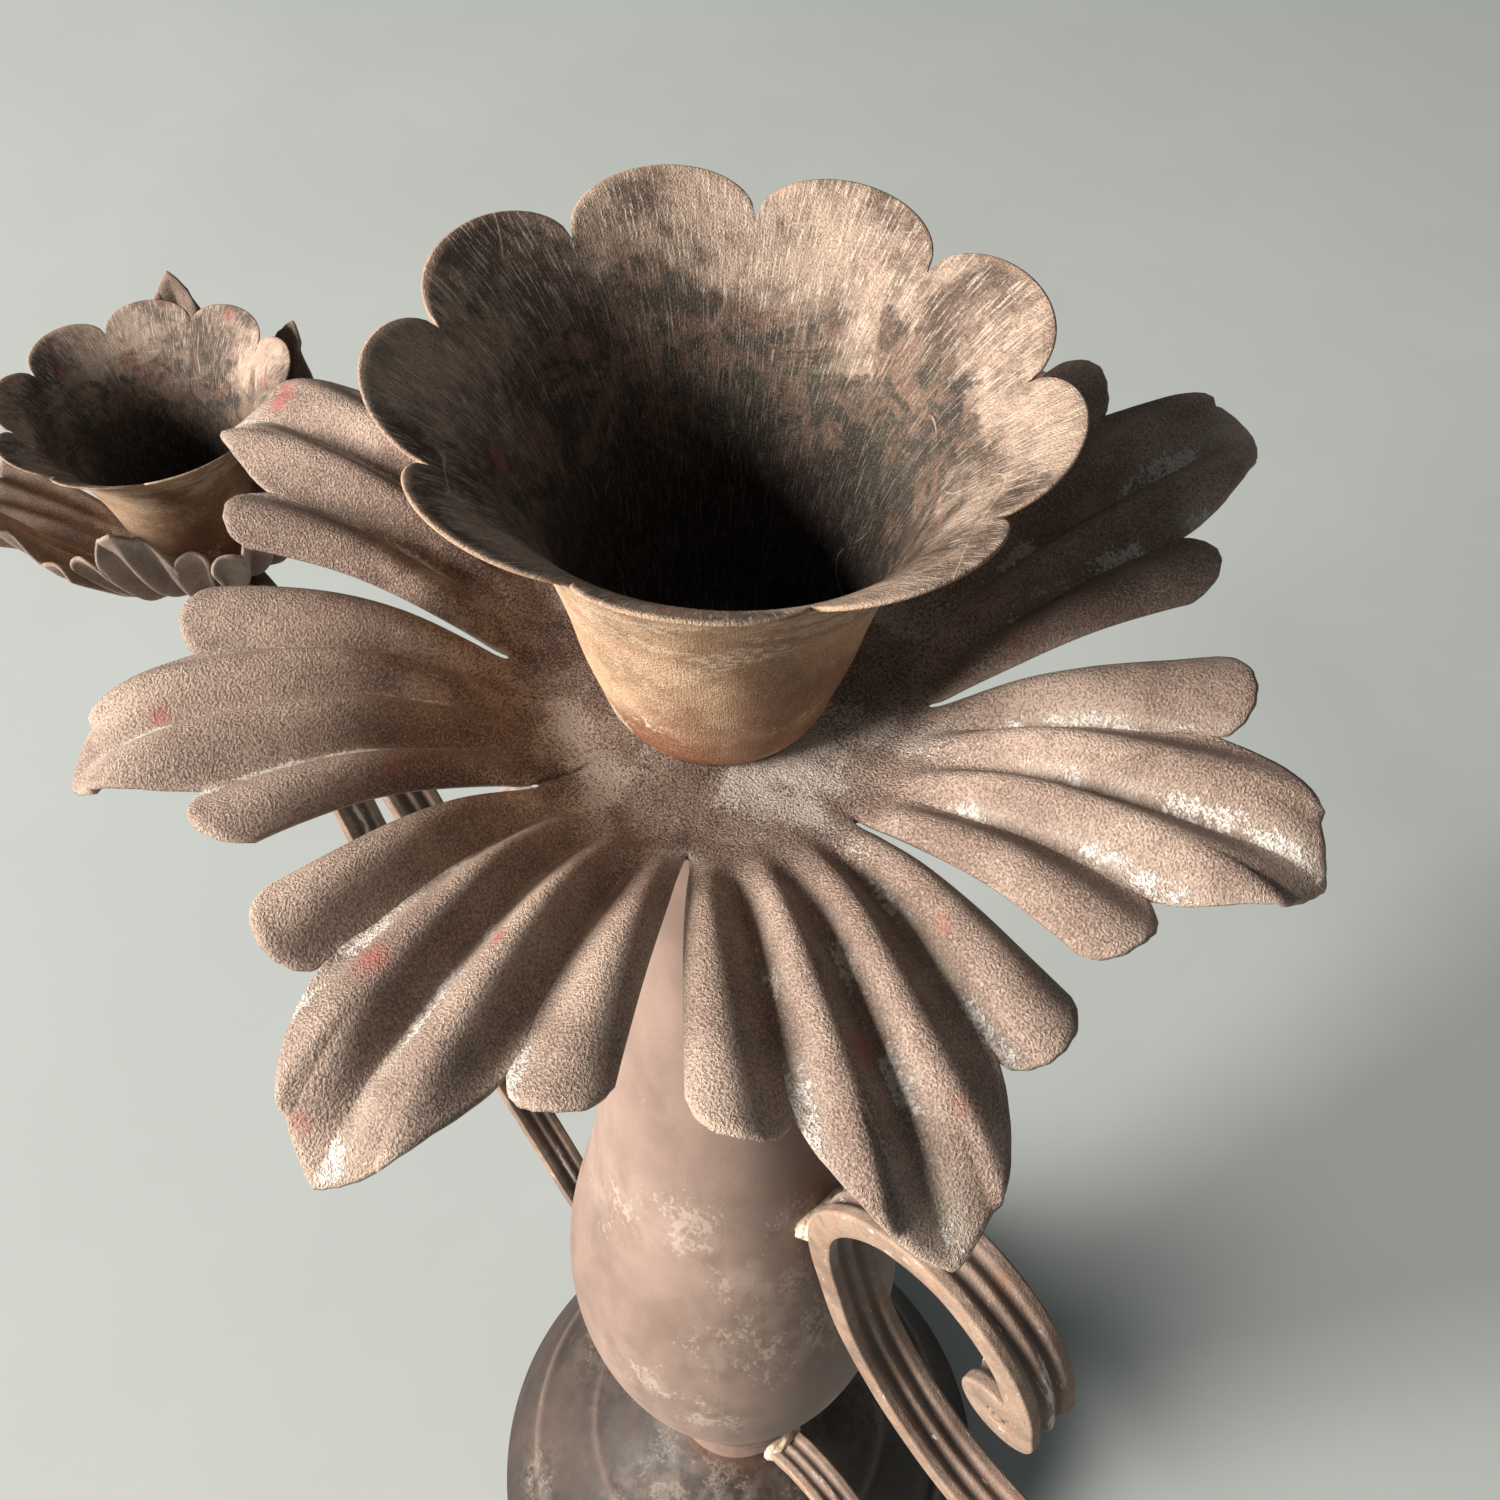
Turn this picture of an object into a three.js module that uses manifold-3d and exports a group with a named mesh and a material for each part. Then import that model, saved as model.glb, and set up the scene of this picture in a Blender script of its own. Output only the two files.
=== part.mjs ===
// Three-light candelabra in painted sheet metal: pear-shaped column on a round foot, two opposite
// strap arms, and three scalloped cups, each standing on a pan of eight pressed leaves.
// Millimetres, +Z up, origin on the floor at the middle of the foot, arms along +X and -X.

import * as THREE from 'three';
import Module from 'manifold-3d';

// Sheet and clearances
const SHEET = 0.8;              // cups and pans
const SHELL = 1.0;              // foot and column
const BORE_GAP = 0.3;           // between a rod or screw and its hole
const SEAT_GAP = 0.1;           // between two flat pieces clamped together
const WELD_GAP = 0.3;           // between a weld bead and the metal on either side
const FACETS = 24;              // sides of every turned piece
const SMALL_FACETS = 12;        // sides of screws, washers and bores

// Foot, seen from above as two ridges and a rim
const FOOT_RADIUS = 81;
const FOOT_HEIGHT = 92;
const FOOT_FLANGE = 6;          // width of the flat ring that stands on the floor

// Column
const FERRULE_RADIUS = 18.2;
const FERRULE_HEIGHT = 18;
const BODY_RADIUS = 35.4;       // widest part of the pear
const BODY_TOP_RADIUS = 11.4;
const HEAD_HEIGHT = 418;        // top of the middle pan's flat hub
const WAIST_DROP = 189;         // from the hub down to the widest part
const ROD_RADIUS = 3;

// Cups
const CUP_RADIUS = 27;          // circle through the nine notches of the rim
const CUP_HEIGHT = 39.6;        // foot of the cup to that circle
const CUP_FOOT_RADIUS = 11.3;
const PETALS = 9;
const PETAL_REACH = 5.1;        // petal tip beyond the notch circle, outward
const PETAL_RISE = 4.1;         // petal tip above the notch circle

// Leaf pans
const LEAVES = 8;
const LEAF_TIP = 70.9;          // leaf tip of the middle pan, measured along the sheet
const SLOT_RADIUS = 22.8;       // root of the slots between leaves
const GROOVE_DEPTH = 1.6;
const PAN_TURN = 18.7;          // degrees, first leaf from +X
const CUP_TURN = 12.3;          // degrees, first notch from +X
const HEAD_LEAN = 2.2;          // degrees, the middle pan and cup sit slightly askew
const LEAN_HEADING = 47.9;      // degrees from +X, the side that sits low
const SIDE_PAN_SIZE = 0.88;     // a side pan against the middle one
const SIDE_PAN_SLIM = 0.86;     // width of its leaves, in the same way
const SIDE_PAN_TURN = 5.9;      // degrees, first leaf from the arm

// Arms
const ARM_REACH = 182;          // column axis to side cup axis
const ARM_PAN_DROP = 108.8;     // hub of a side pan below the middle one
const STRAP_WIDTH = 10.8;
const STRAP_THICK = 5.2;
const STRAP_STEP = 26;          // degrees of bend between two sections of a strap
const TURN_DROP = 118;          // middle hub down to the scroll strap's weld on the body
const SCROLL_WIDTH = 39.6;      // arch of the scroll strap, out from that weld
const SCROLL_RISE = 33.8;       // top of the arch above the weld
const TROUGH_WIDTH = 39;        // lowest point of the scroll strap, out from the weld
const TROUGH_DROP = 52.6;       // and below it
const START_DROP = 14.6;        // ferrule top down to the lower strap's weld
const ROLL_RADIUS = 4.5;        // middle line of the rolled strap end
const SCREW_RADIUS = 2.5;
const WASHER_RADIUS = 5.6;      // also the screw's head

const wasm = await Module();
wasm.setup();

const rad = (d) => d * Math.PI / 180;

function paint(color, roughness, metalness) {
  return new THREE.MeshStandardMaterial({ color, roughness, metalness });
}

const finish = {
  leaf: () => paint(0x84695c, 0.85, 0.1),
  cup: () => paint(0x8a6a55, 0.8, 0.15),
  column: () => paint(0x9a7d72, 0.6, 0.1),
  foot: () => paint(0x6d584e, 0.7, 0.1),
  strap: () => paint(0x8f7468, 0.65, 0.15),
  weld: () => paint(0xa8988a, 0.8, 0.2),
  steel: () => paint(0x5d4c42, 0.6, 0.6),
};

function solid(positions, triangles) {
  const g = new THREE.BufferGeometry();
  g.setAttribute('position', new THREE.Float32BufferAttribute(positions.flat(), 3));
  g.setIndex(triangles.flat());
  g.computeVertexNormals();
  return g;
}

function piece(name, geometry, material) {
  const m = new THREE.Mesh(geometry, material);
  m.name = name;
  return m;
}

// Closed ring profile of [radius, z] pairs turned about Z. The profile runs anticlockwise
// when radius points right and z points up.
function turned(profile, facets = FACETS) {
  const n = profile.length;
  const p = [];
  const t = [];
  for (let i = 0; i < facets; i += 1) {
    const a = 2 * Math.PI * i / facets;
    profile.forEach(([r, z]) => p.push([r * Math.cos(a), r * Math.sin(a), z]));
  }
  for (let i = 0; i < facets; i += 1) {
    const j = (i + 1) % facets;
    for (let k = 0; k < n; k += 1) {
      const l = (k + 1) % n;
      t.push([i * n + k, j * n + k, j * n + l], [i * n + k, j * n + l, i * n + l]);
    }
  }
  return solid(p, t);
}

// Shell of one thickness below or inside an outer profile that runs upward.
function shellProfile(outer, thick) {
  const inner = outer.map(([r, z], i) => {
    const a = outer[Math.max(i - 1, 0)];
    const b = outer[Math.min(i + 1, outer.length - 1)];
    const d = Math.hypot(b[0] - a[0], b[1] - a[1]);
    const end = i === 0 || i === outer.length - 1;
    const nr = end ? 1 : (b[1] - a[1]) / d;
    const nz = end ? 0 : -(b[0] - a[0]) / d;
    return [r - nr * thick, z - nz * thick];
  });
  return [...outer, ...inner.reverse()];
}

function toManifold(geometry) {
  const pos = geometry.getAttribute('position').array;
  const map = new Map();
  const verts = [];
  const remap = [];
  for (let i = 0; i < pos.length; i += 3) {
    const key = [0, 1, 2].map((k) => Math.round(pos[i + k] * 1e4)).join(',');
    if (!map.has(key)) {
      map.set(key, verts.length / 3);
      verts.push(pos[i], pos[i + 1], pos[i + 2]);
    }
    remap.push(map.get(key));
  }
  const triVerts = Uint32Array.from(Array.from(geometry.index.array, (v) => remap[v]));
  const mesh = new wasm.Mesh({ numProp: 3, vertProperties: Float32Array.from(verts), triVerts });
  return new wasm.Manifold(mesh);
}

function fromManifold(m) {
  const mesh = m.getMesh();
  const g = new THREE.BufferGeometry();
  g.setAttribute('position', new THREE.Float32BufferAttribute(mesh.vertProperties, 3));
  g.setIndex(new THREE.Uint32BufferAttribute(mesh.triVerts, 1));
  g.computeVertexNormals();
  return g;
}

function ring(inner, outer, low, high, sides = FACETS) {
  return turned([[inner, low], [outer, low], [outer, high], [inner, high]], sides);
}

function hexNut(bore, flats, low, high) {
  const shape = new THREE.Shape();
  for (let i = 0; i < 6; i += 1) {
    const a = i * Math.PI / 3;
    const r = flats / 2 / Math.cos(Math.PI / 6);
    if (i === 0) shape.moveTo(r, 0);
    else shape.lineTo(r * Math.cos(a), r * Math.sin(a));
  }
  shape.closePath();
  const hole = new THREE.Path();
  hole.absarc(0, 0, bore, 0, 2 * Math.PI, true);
  shape.holes.push(hole);
  const g = new THREE.ExtrudeGeometry(shape, {
    depth: high - low, bevelEnabled: false, curveSegments: 6,
  });
  g.translate(0, 0, low);
  return g;
}

// Value of a table of [x, y] pairs at x, straight between the pairs.
function along(table, x) {
  let i = 0;
  while (i < table.length - 2 && x > table[i + 1][0]) i += 1;
  const [x0, y0] = table[i];
  const [x1, y1] = table[i + 1];
  return y0 + (y1 - y0) * (x - x0) / (x1 - x0);
}

// Column outline as [z, radius], from the ferrule up to the cap. Heights are shares of the
// drop from the hub to the widest part, radii are shares of the widest radius.
const WAIST_Z = HEAD_HEIGHT - WAIST_DROP;
const FERRULE_TOP = FOOT_HEIGHT + FERRULE_HEIGHT;
const BODY_TOP = HEAD_HEIGHT - SHEET - 2.6;
const LOWER_SHARE = [[0, 0], [0.345, 0.32], [0.575, 0.58], [0.82, 0.87]];
const UPPER_SHARE = [[0.07, 0.96], [0.15, 0.86], [0.29, 0.66], [0.43, 0.47], [0.6, 0.3], [0.8, 0.12]];
const lowerOutline = [
  ...LOWER_SHARE.map(([h, w]) => [
    FERRULE_TOP + h * (WAIST_Z - FERRULE_TOP),
    FERRULE_RADIUS + 0.4 + w * (BODY_RADIUS - FERRULE_RADIUS - 0.4),
  ]),
  [WAIST_Z, BODY_RADIUS],
];
const upperOutline = [
  [WAIST_Z, BODY_RADIUS],
  ...UPPER_SHARE.map(([h, w]) => [
    WAIST_Z + h * (BODY_TOP - WAIST_Z),
    BODY_TOP_RADIUS + w * (BODY_RADIUS - BODY_TOP_RADIUS),
  ]),
  [BODY_TOP, BODY_TOP_RADIUS],
];
const bodyRadius = (z) => along(z < WAIST_Z ? lowerOutline : upperOutline, z);

function footOutline() {
  const share = [
    [1, 0], [0.96, 0.11], [0.87, 0.29], [0.79, 0.42], [0.745, 0.5], [0.715, 0.52],
    [0.6, 0.63], [0.43, 0.74], [0.41, 0.775], [0.3, 0.84], [0.12, 0.91],
  ];
  const neck = FERRULE_RADIUS + 0.8;
  const rows = share.map(([w, h]) => [neck + w * (FOOT_RADIUS - neck), h * FOOT_HEIGHT]);
  return [...rows, [neck, FOOT_HEIGHT]];
}

// Half leaf as [share of the way to the side, length against the tip, degrees off the spine].
const TEMPLATE = [[0, 1, 0], [0.27, 0.931, 5.6], [0.54, 0.797, 9.3], [0.8, 0.81, 13.6], [1, 0.788, 17.34]];
const COLUMNS = 2 * (TEMPLATE.length - 1);

// Leaf pan. The flat blank is laid out in polar rows from the slot roots to the rim. Each leaf is
// given as [turn, rise, twist, stretch], and bent(leaf, u, side, t) gives the distance out and the
// height of a point that lies u along its sheet.
function leafPan(size, slim, turn, flat, leaves, bent) {
  const rows = 4;
  const half = Math.PI / LEAVES;
  const root = SLOT_RADIUS * size;
  const span = (LEAF_TIP - SLOT_RADIUS) * size;
  const rings = [ROD_RADIUS + 1, ...flat];
  const p = [];
  const index = new Map();
  const put = (key, top, under) => {
    if (!index.has(key)) {
      index.set(key, p.length);
      p.push(top, under);
    }
    return index.get(key);
  };
  const vertex = (leaf, k, row) => {
    const col = (leaf * COLUMNS + k) % (LEAVES * COLUMNS);
    const side = Math.sign(k - COLUMNS / 2);
    const [v, length, degrees] = TEMPLATE[Math.abs(k - COLUMNS / 2)];
    const spine = rad(turn) + 2 * half * leaf;
    if (row < 0) {
      const even = (leaf * COLUMNS + k + k % 2) % (LEAVES * COLUMNS);
      const a = rad(turn) + half * (2 * even / COLUMNS - 1);
      const r = rings[rings.length + row];
      return put(`h${row},${even}`, [r * Math.cos(a), r * Math.sin(a), 0],
        [r * Math.cos(a), r * Math.sin(a), -SHEET]);
    }
    const [swing, rise, twist, stretch] = leaves[leaf];
    const t = row / rows;
    const rim = root + (LEAF_TIP * size * length - root) * stretch;
    const s = root + (rim - root) * t;
    const corner = rad(degrees) * slim;
    const a = side * ((1 - t) ** 2 * v * (row === 0 ? half : 0.95 * half)
      + (1.908 * t * (1 - t) + t * t) * corner);
    const u = s * Math.cos(a);
    const w = s * Math.sin(a);
    const share = Math.max(0, (u - root) / span);
    const groove = GROOVE_DEPTH * (Math.max(0, 1 - Math.abs(v - 0.54) / 0.2) + Math.max(0, 1 - v / 0.2))
      * Math.min(1, 4 * share) * (row === rows ? 0.4 : 1);
    const [r0, z0] = bent(leaf, u - 1, side * v, t);
    const [r1, z1] = bent(leaf, u + 1, side * v, t);
    const d = Math.hypot(r1 - r0, z1 - z0);
    const [reach, height] = bent(leaf, u, side * v, t);
    const across = rad(swing) * t + spine;
    const at = (depth) => {
      const r = reach + depth * (z1 - z0) / d;
      const z = height + (rise * share + twist * w) * share - depth * (r1 - r0) / d;
      return [r * Math.cos(across) - w * Math.sin(across), r * Math.sin(across) + w * Math.cos(across), z];
    };
    const shared = row === 0 && v === 1;
    return put(shared ? `s${col}` : `${leaf},${k},${row}`, at(groove), at(groove + SHEET));
  };
  const t = [];
  const quad = (a, b, c, d) => {
    t.push([a, b, c], [a, c, d]);
    t.push([a + 1, c + 1, b + 1], [a + 1, d + 1, c + 1]);
  };
  const wall = (a, b) => t.push([a, a + 1, b + 1], [a, b + 1, b]);
  const first = -rings.length;
  for (let leaf = 0; leaf < LEAVES; leaf += 1) {
    for (let k = 0; k < COLUMNS; k += 1) {
      for (let row = first; row < rows; row += 1) {
        quad(vertex(leaf, k, row), vertex(leaf, k, row + 1),
          vertex(leaf, k + 1, row + 1), vertex(leaf, k + 1, row));
      }
      wall(vertex(leaf, k + 1, first), vertex(leaf, k, first));
      wall(vertex(leaf, k, rows), vertex(leaf, k + 1, rows));
    }
    for (let row = 0; row < rows; row += 1) {
      wall(vertex(leaf, 0, row), vertex(leaf, 0, row + 1));
      wall(vertex(leaf, COLUMNS, row + 1), vertex(leaf, COLUMNS, row));
    }
  }
  return solid(p, t.filter(([a, b, c]) => a !== b && b !== c && c !== a));
}

// Scalloped cup. Rows climb the wall by share of height, the last row follows the petals.
function cup(turn) {
  const per = 4;
  const n = PETALS * per;
  const wide = [[0, 1], [0.12, 0.19], [0.68, 0.39], [0.85, 0.6]];
  const foot = CUP_FOOT_RADIUS;
  const outerRow = wide.map(([h, w], i) => (i === 0
    ? [foot, 0]
    : [foot + w * (CUP_RADIUS - foot), h * CUP_HEIGHT]));
  const petal = [0, 0.86, 1, 0.86];
  const p = [];
  const rowStart = [];
  const addRow = (fn) => {
    rowStart.push(p.length);
    for (let i = 0; i < n; i += 1) {
      const a = rad(turn) + 2 * Math.PI * i / n;
      const [r, z] = fn(petal[i % per]);
      p.push([r * Math.cos(a), r * Math.sin(a), z]);
    }
  };
  const hole = ROD_RADIUS + 1;
  addRow(() => [hole, 0]);
  outerRow.forEach(([r, z]) => addRow(() => [r, z]));
  addRow((q) => [CUP_RADIUS + q * PETAL_REACH, CUP_HEIGHT + q * PETAL_RISE]);
  addRow((q) => [CUP_RADIUS + q * PETAL_REACH - 0.6, CUP_HEIGHT + q * PETAL_RISE + 0.7]);
  [...outerRow].reverse().forEach(([r, z]) => {
    addRow(() => [r - SHEET * 0.95, z < 0.01 ? SHEET : z + SHEET * 0.25]);
  });
  addRow(() => [hole, SHEET]);
  const rows = rowStart.length;
  const t = [];
  for (let k = 0; k < rows; k += 1) {
    const a = rowStart[k];
    const b = rowStart[(k + 1) % rows];
    for (let i = 0; i < n; i += 1) {
      const j = (i + 1) % n;
      t.push([a + i, a + j, b + j], [a + i, b + j, b + i]);
    }
  }
  return solid(p, t);
}

// Reeded strap: three beads on each face, swept along a curve in the XZ plane.
function strap(points, grow = 0) {
  const curve = new THREE.CatmullRomCurve3(
    points.map(([x, z]) => new THREE.Vector3(x, 0, z)), false, 'centripetal');
  const spans = points.length - 1;
  const stations = [0];
  for (let i = 0; i < spans; i += 1) {
    const bend = curve.getTangent(i / spans).angleTo(curve.getTangent((i + 1) / spans));
    const parts = Math.max(1, Math.ceil(bend / rad(STRAP_STEP)));
    for (let k = 1; k <= parts; k += 1) stations.push((i + k / parts) / spans);
  }
  const steps = stations.length - 1;
  const w = STRAP_WIDTH / 2 + grow;
  const h = STRAP_THICK / 2 + grow;
  const half = [[0.76 * w, h], [0.38 * w, 0.66 * h], [0, 0.92 * h], [-0.38 * w, 0.66 * h], [-0.76 * w, h]];
  const under = [...half].reverse().map(([a, b]) => [a, -b]);
  const section = [[w, 0], ...half, [-w, 0], ...under];
  const n = section.length;
  const p = [];
  const t = [];
  stations.forEach((s) => {
    const c = curve.getPoint(s);
    const d = curve.getTangent(s);
    section.forEach(([y, o]) => p.push([c.x - d.z * o, y, c.z + d.x * o]));
  });
  for (let i = 0; i < steps; i += 1) {
    for (let k = 0; k < n; k += 1) {
      const l = (k + 1) % n;
      t.push([i * n + k, i * n + l, (i + 1) * n + l], [i * n + k, (i + 1) * n + l, (i + 1) * n + k]);
    }
  }
  const last = steps * n;
  for (let k = 0; k < n / 2; k += 1) {
    const a = k;
    const b = k + 1;
    const c = (2 * n - 1 - k) % n;
    const d = (n - k) % n;
    if (a !== d) {
      t.push([a, d, c]);
      t.push([last + a, last + c, last + d]);
    }
    if (b !== c) {
      t.push([a, c, b]);
      t.push([last + a, last + b, last + c]);
    }
  }
  return solid(p, t);
}

function drilled(geometry, x, radius) {
  const pin = new THREE.CylinderGeometry(radius, radius, 2 * HEAD_HEIGHT, SMALL_FACETS);
  pin.rotateX(Math.PI / 2);
  pin.translate(x, 0, 0);
  return fromManifold(toManifold(geometry).subtract(toManifold(pin)));
}

// Blob of weld metal with a size along each axis, less what it sits between.
function bead(center, size, cutters) {
  const blob = new THREE.SphereGeometry(1, 8, 6);
  blob.scale(...size);
  blob.translate(...center);
  let m = toManifold(blob);
  cutters.forEach((c) => {
    m = m.subtract(toManifold(c));
  });
  return fromManifold(m);
}

// Foot, column and the rod that clamps them together
function column() {
  const g = new THREE.Group();
  const foot = footOutline();
  const skin = shellProfile(foot, SHELL);
  const inside = skin.slice(foot.length);
  inside.pop();
  const floor = [
    [FOOT_RADIUS - FOOT_FLANGE, 0], [FOOT_RADIUS, 0],
  ];
  const lip = [[FOOT_RADIUS - SHELL, SHELL], [FOOT_RADIUS - FOOT_FLANGE, SHELL]];
  g.add(piece('foot_dome', turned([...floor, ...foot.slice(1), ...inside, ...lip]), finish.foot()));

  g.add(piece('neck_ferrule', ring(FERRULE_RADIUS - 1.6, FERRULE_RADIUS, FOOT_HEIGHT, FERRULE_TOP),
    finish.column()));
  const flip = (rows) => rows.map(([z, r]) => [r, z]);
  g.add(piece('body_lower', turned(shellProfile(flip(lowerOutline), SHELL)), finish.column()));
  g.add(piece('body_upper', turned(shellProfile(flip(upperOutline), SHELL)), finish.column()));

  const bore = ROD_RADIUS + BORE_GAP;
  const cap = BODY_TOP_RADIUS + 0.6;
  g.add(piece('body_cap', turned([
    [bore, BODY_TOP], [cap, BODY_TOP], [cap, BODY_TOP + 0.9], [0.7 * cap, BODY_TOP + 1.9],
    [bore, BODY_TOP + 2.4],
  ]), finish.column()));

  const plate = FOOT_HEIGHT - 10;
  const neck = FERRULE_RADIUS - 2.2;
  g.add(piece('foot_washer', ring(bore, neck, plate, plate + 2.5, SMALL_FACETS), finish.steel()));
  g.add(piece('foot_nut', hexNut(bore, 4 * ROD_RADIUS, plate - 5.1, plate - 0.1), finish.steel()));
  const nutLow = HEAD_HEIGHT + SHEET + 0.35;
  g.add(piece('nut_center', hexNut(bore, 3.33 * ROD_RADIUS, nutLow, nutLow + 4), finish.steel()));
  const rodLow = plate - 9;
  const rodHigh = nutLow + 6;
  const rod = new THREE.CylinderGeometry(ROD_RADIUS, ROD_RADIUS, rodHigh - rodLow, SMALL_FACETS);
  rod.rotateX(Math.PI / 2);
  rod.translate(0, 0, (rodHigh + rodLow) / 2);
  g.add(piece('tie_rod', rod, finish.steel()));
  return g;
}

// Leaves of the middle pan arch up and out, then droop: heights as [along the sheet, up]. The
// distance out follows from the length of the sheet.
const ARCH_LIFT = [
  [SLOT_RADIUS, 0], [30, 5.6], [38, 9.9], [46, 11.6], [53, 12.1], [60, 12.6], [LEAF_TIP, 7.3],
];
const ARCH = ARCH_LIFT.reduce((rows, [u, z]) => {
  const [u0, r0, z0] = rows[rows.length - 1];
  return [...rows, [u, r0 + Math.sqrt((u - u0) ** 2 - (z - z0) ** 2), z]];
}, [[0, 0, 0]]);

// Side leaves stand up round the cup or lean out from it: [along, out, up] of both shapes, as
// shares of the leaf's length, and how far each leaf leans out.
const UPRIGHT = [
  [0, 0, 0], [0.2, 0.2, 0], [0.29, 0.282, 0.029], [0.385, 0.353, 0.09], [0.513, 0.423, 0.196],
  [0.673, 0.49, 0.34], [0.834, 0.539, 0.492], [1, 0.592, 0.641],
];
const SPLAYED = [
  [0, 0, 0], [0.2, 0.2, 0], [0.29, 0.287, 0.01], [0.385, 0.378, 0.039], [0.513, 0.5, 0.08],
  [0.673, 0.657, 0.122], [0.834, 0.814, 0.147], [1, 0.971, 0.16],
];
const SPLAY = {
  right: [0.35, 0.1, 0.25, 0.6, 0.2, 0, 0.3, 0.05],
  left: [0.35, 0.8, 0.5, 0.05, 0.15, 0.1, 0, 0],
};
// Middle leaves as [turn in degrees, rise of the tip, twist, stretch].
const MIDDLE_LEAVES = [
  [-0.2, 2.3, 0.31, 0.969], [5, 9.2, 0.115, 0.94], [0, 6, 0, 1], [0, 6, 0, 1],
  [0.2, -0.7, -0.02, 1.008], [-0.1, -3.1, 0.055, 1.014], [1.1, -0.3, -0.105, 1.04],
  [1.6, -4.1, -0.058, 1.051],
];
const SIDE_LEAVES = MIDDLE_LEAVES.map(() => [0, 0, 0, 1]);

function bendPoint(table, u) {
  return [1, 2].map((k) => along(table.map((row) => [row[0], row[k]]), u));
}

// Near the slot roots a side leaf shares the lean of its neighbour.
function sidePan(side) {
  const tip = LEAF_TIP * SIDE_PAN_SIZE;
  const splay = SPLAY[side];
  return leafPan(SIDE_PAN_SIZE, SIDE_PAN_SLIM, SIDE_PAN_TURN, [0.2 * tip], SIDE_LEAVES, (leaf, u, v, t) => {
    const next = splay[(leaf + LEAVES + Math.sign(v)) % LEAVES];
    const lean = splay[leaf] + (next - splay[leaf]) * Math.abs(v) / 2 * (1 - t) ** 2;
    const up = bendPoint(UPRIGHT, u / tip);
    const out = bendPoint(SPLAYED, u / tip);
    return up.map((value, k) => tip * (value + (out[k] - value) * lean));
  });
}

function head() {
  const g = new THREE.Group();
  g.name = 'head';
  g.position.set(0, 0, HEAD_HEIGHT - SHEET - 0.08);
  const heading = rad(LEAN_HEADING);
  const axis = new THREE.Vector3(-Math.sin(heading), Math.cos(heading), 0);
  g.quaternion.setFromAxisAngle(axis, rad(HEAD_LEAN));
  const pan = piece('pan_center', leafPan(1, 1, PAN_TURN, [], MIDDLE_LEAVES,
    (leaf, u) => bendPoint(ARCH, u)), finish.leaf());
  pan.position.z = SHEET;
  const c = piece('cup_center', cup(CUP_TURN), finish.cup());
  c.position.z = SHEET;
  g.add(pan, c);
  return g;
}

// Arm along +X. The scroll strap starts as a tight roll, arches back to the column, turns at a
// weld and runs out under the side pan. The lower strap comes from the ferrule to the same place.
const HUB = HEAD_HEIGHT - ARM_PAN_DROP;
const SCROLL_END = HUB - SHEET - SEAT_GAP - STRAP_THICK / 2;
const LOWER_END = SCROLL_END - STRAP_THICK - SEAT_GAP;
const TURN_Z = HEAD_HEIGHT - TURN_DROP;
const TURN_X = bodyRadius(TURN_Z) + 1.2 + STRAP_THICK / 2;
const START_Z = FERRULE_TOP - START_DROP;

// Points given as shares of the way from one corner of a box to the other.
function between([x0, z0], [x1, z1], shares) {
  return shares.map(([x, z]) => [x0 + x * (x1 - x0), z0 + z * (z1 - z0)]);
}

function scrollPath() {
  const weld = [TURN_X, TURN_Z];
  const trough = [TURN_X + TROUGH_WIDTH, TURN_Z - TROUGH_DROP];
  const rollX = TURN_X + SCROLL_WIDTH - 0.49 * ROLL_RADIUS;
  const rollZ = TURN_Z + 0.325 * SCROLL_RISE;
  const roll = [];
  for (let i = 8; i >= 0; i -= 1) {
    const a = rad(25 - 36 * i);
    const r = ROLL_RADIUS * (1 - 0.015 * i);
    roll.push([rollX + r * Math.cos(a), rollZ + r * Math.sin(a)]);
  }
  const over = between(weld, [TURN_X + SCROLL_WIDTH, TURN_Z + SCROLL_RISE], [
    [1, 0.6], [0.843, 0.87], [0.576, 1], [0.298, 0.879], [0.093, 0.583], [0, 0.254],
  ]);
  const down = between(weld, trough, [
    [0.005, 0], [0.108, 0.272], [0.215, 0.487], [0.39, 0.683], [0.674, 0.888], [1, 1],
  ]);
  const rise = between(trough, [ARM_REACH, SCROLL_END], [
    [0.104, 0.009], [0.2, 0.194], [0.272, 0.494], [0.357, 0.712], [0.526, 0.866], [0.732, 0.957],
    [0.893, 1], [1, 1],
  ]);
  return [...roll, ...over, ...down, ...rise, [ARM_REACH + 8, SCROLL_END]];
}

function lowerPath() {
  return [...between([FERRULE_RADIUS + 0.7, START_Z], [ARM_REACH, LOWER_END], [
    [0, 0], [0.016, 0.0015], [0.052, 0.0234], [0.11, 0.0356], [0.177, 0.02], [0.243, 0.02],
    [0.317, 0.0595], [0.408, 0.149], [0.565, 0.323], [0.714, 0.52], [0.81, 0.707], [0.853, 0.839],
    [0.883, 0.932], [0.908, 0.978], [0.929, 0.995], [0.947, 1], [0.976, 1], [1, 1],
  ]), [ARM_REACH + 8, LOWER_END]];
}

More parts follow.
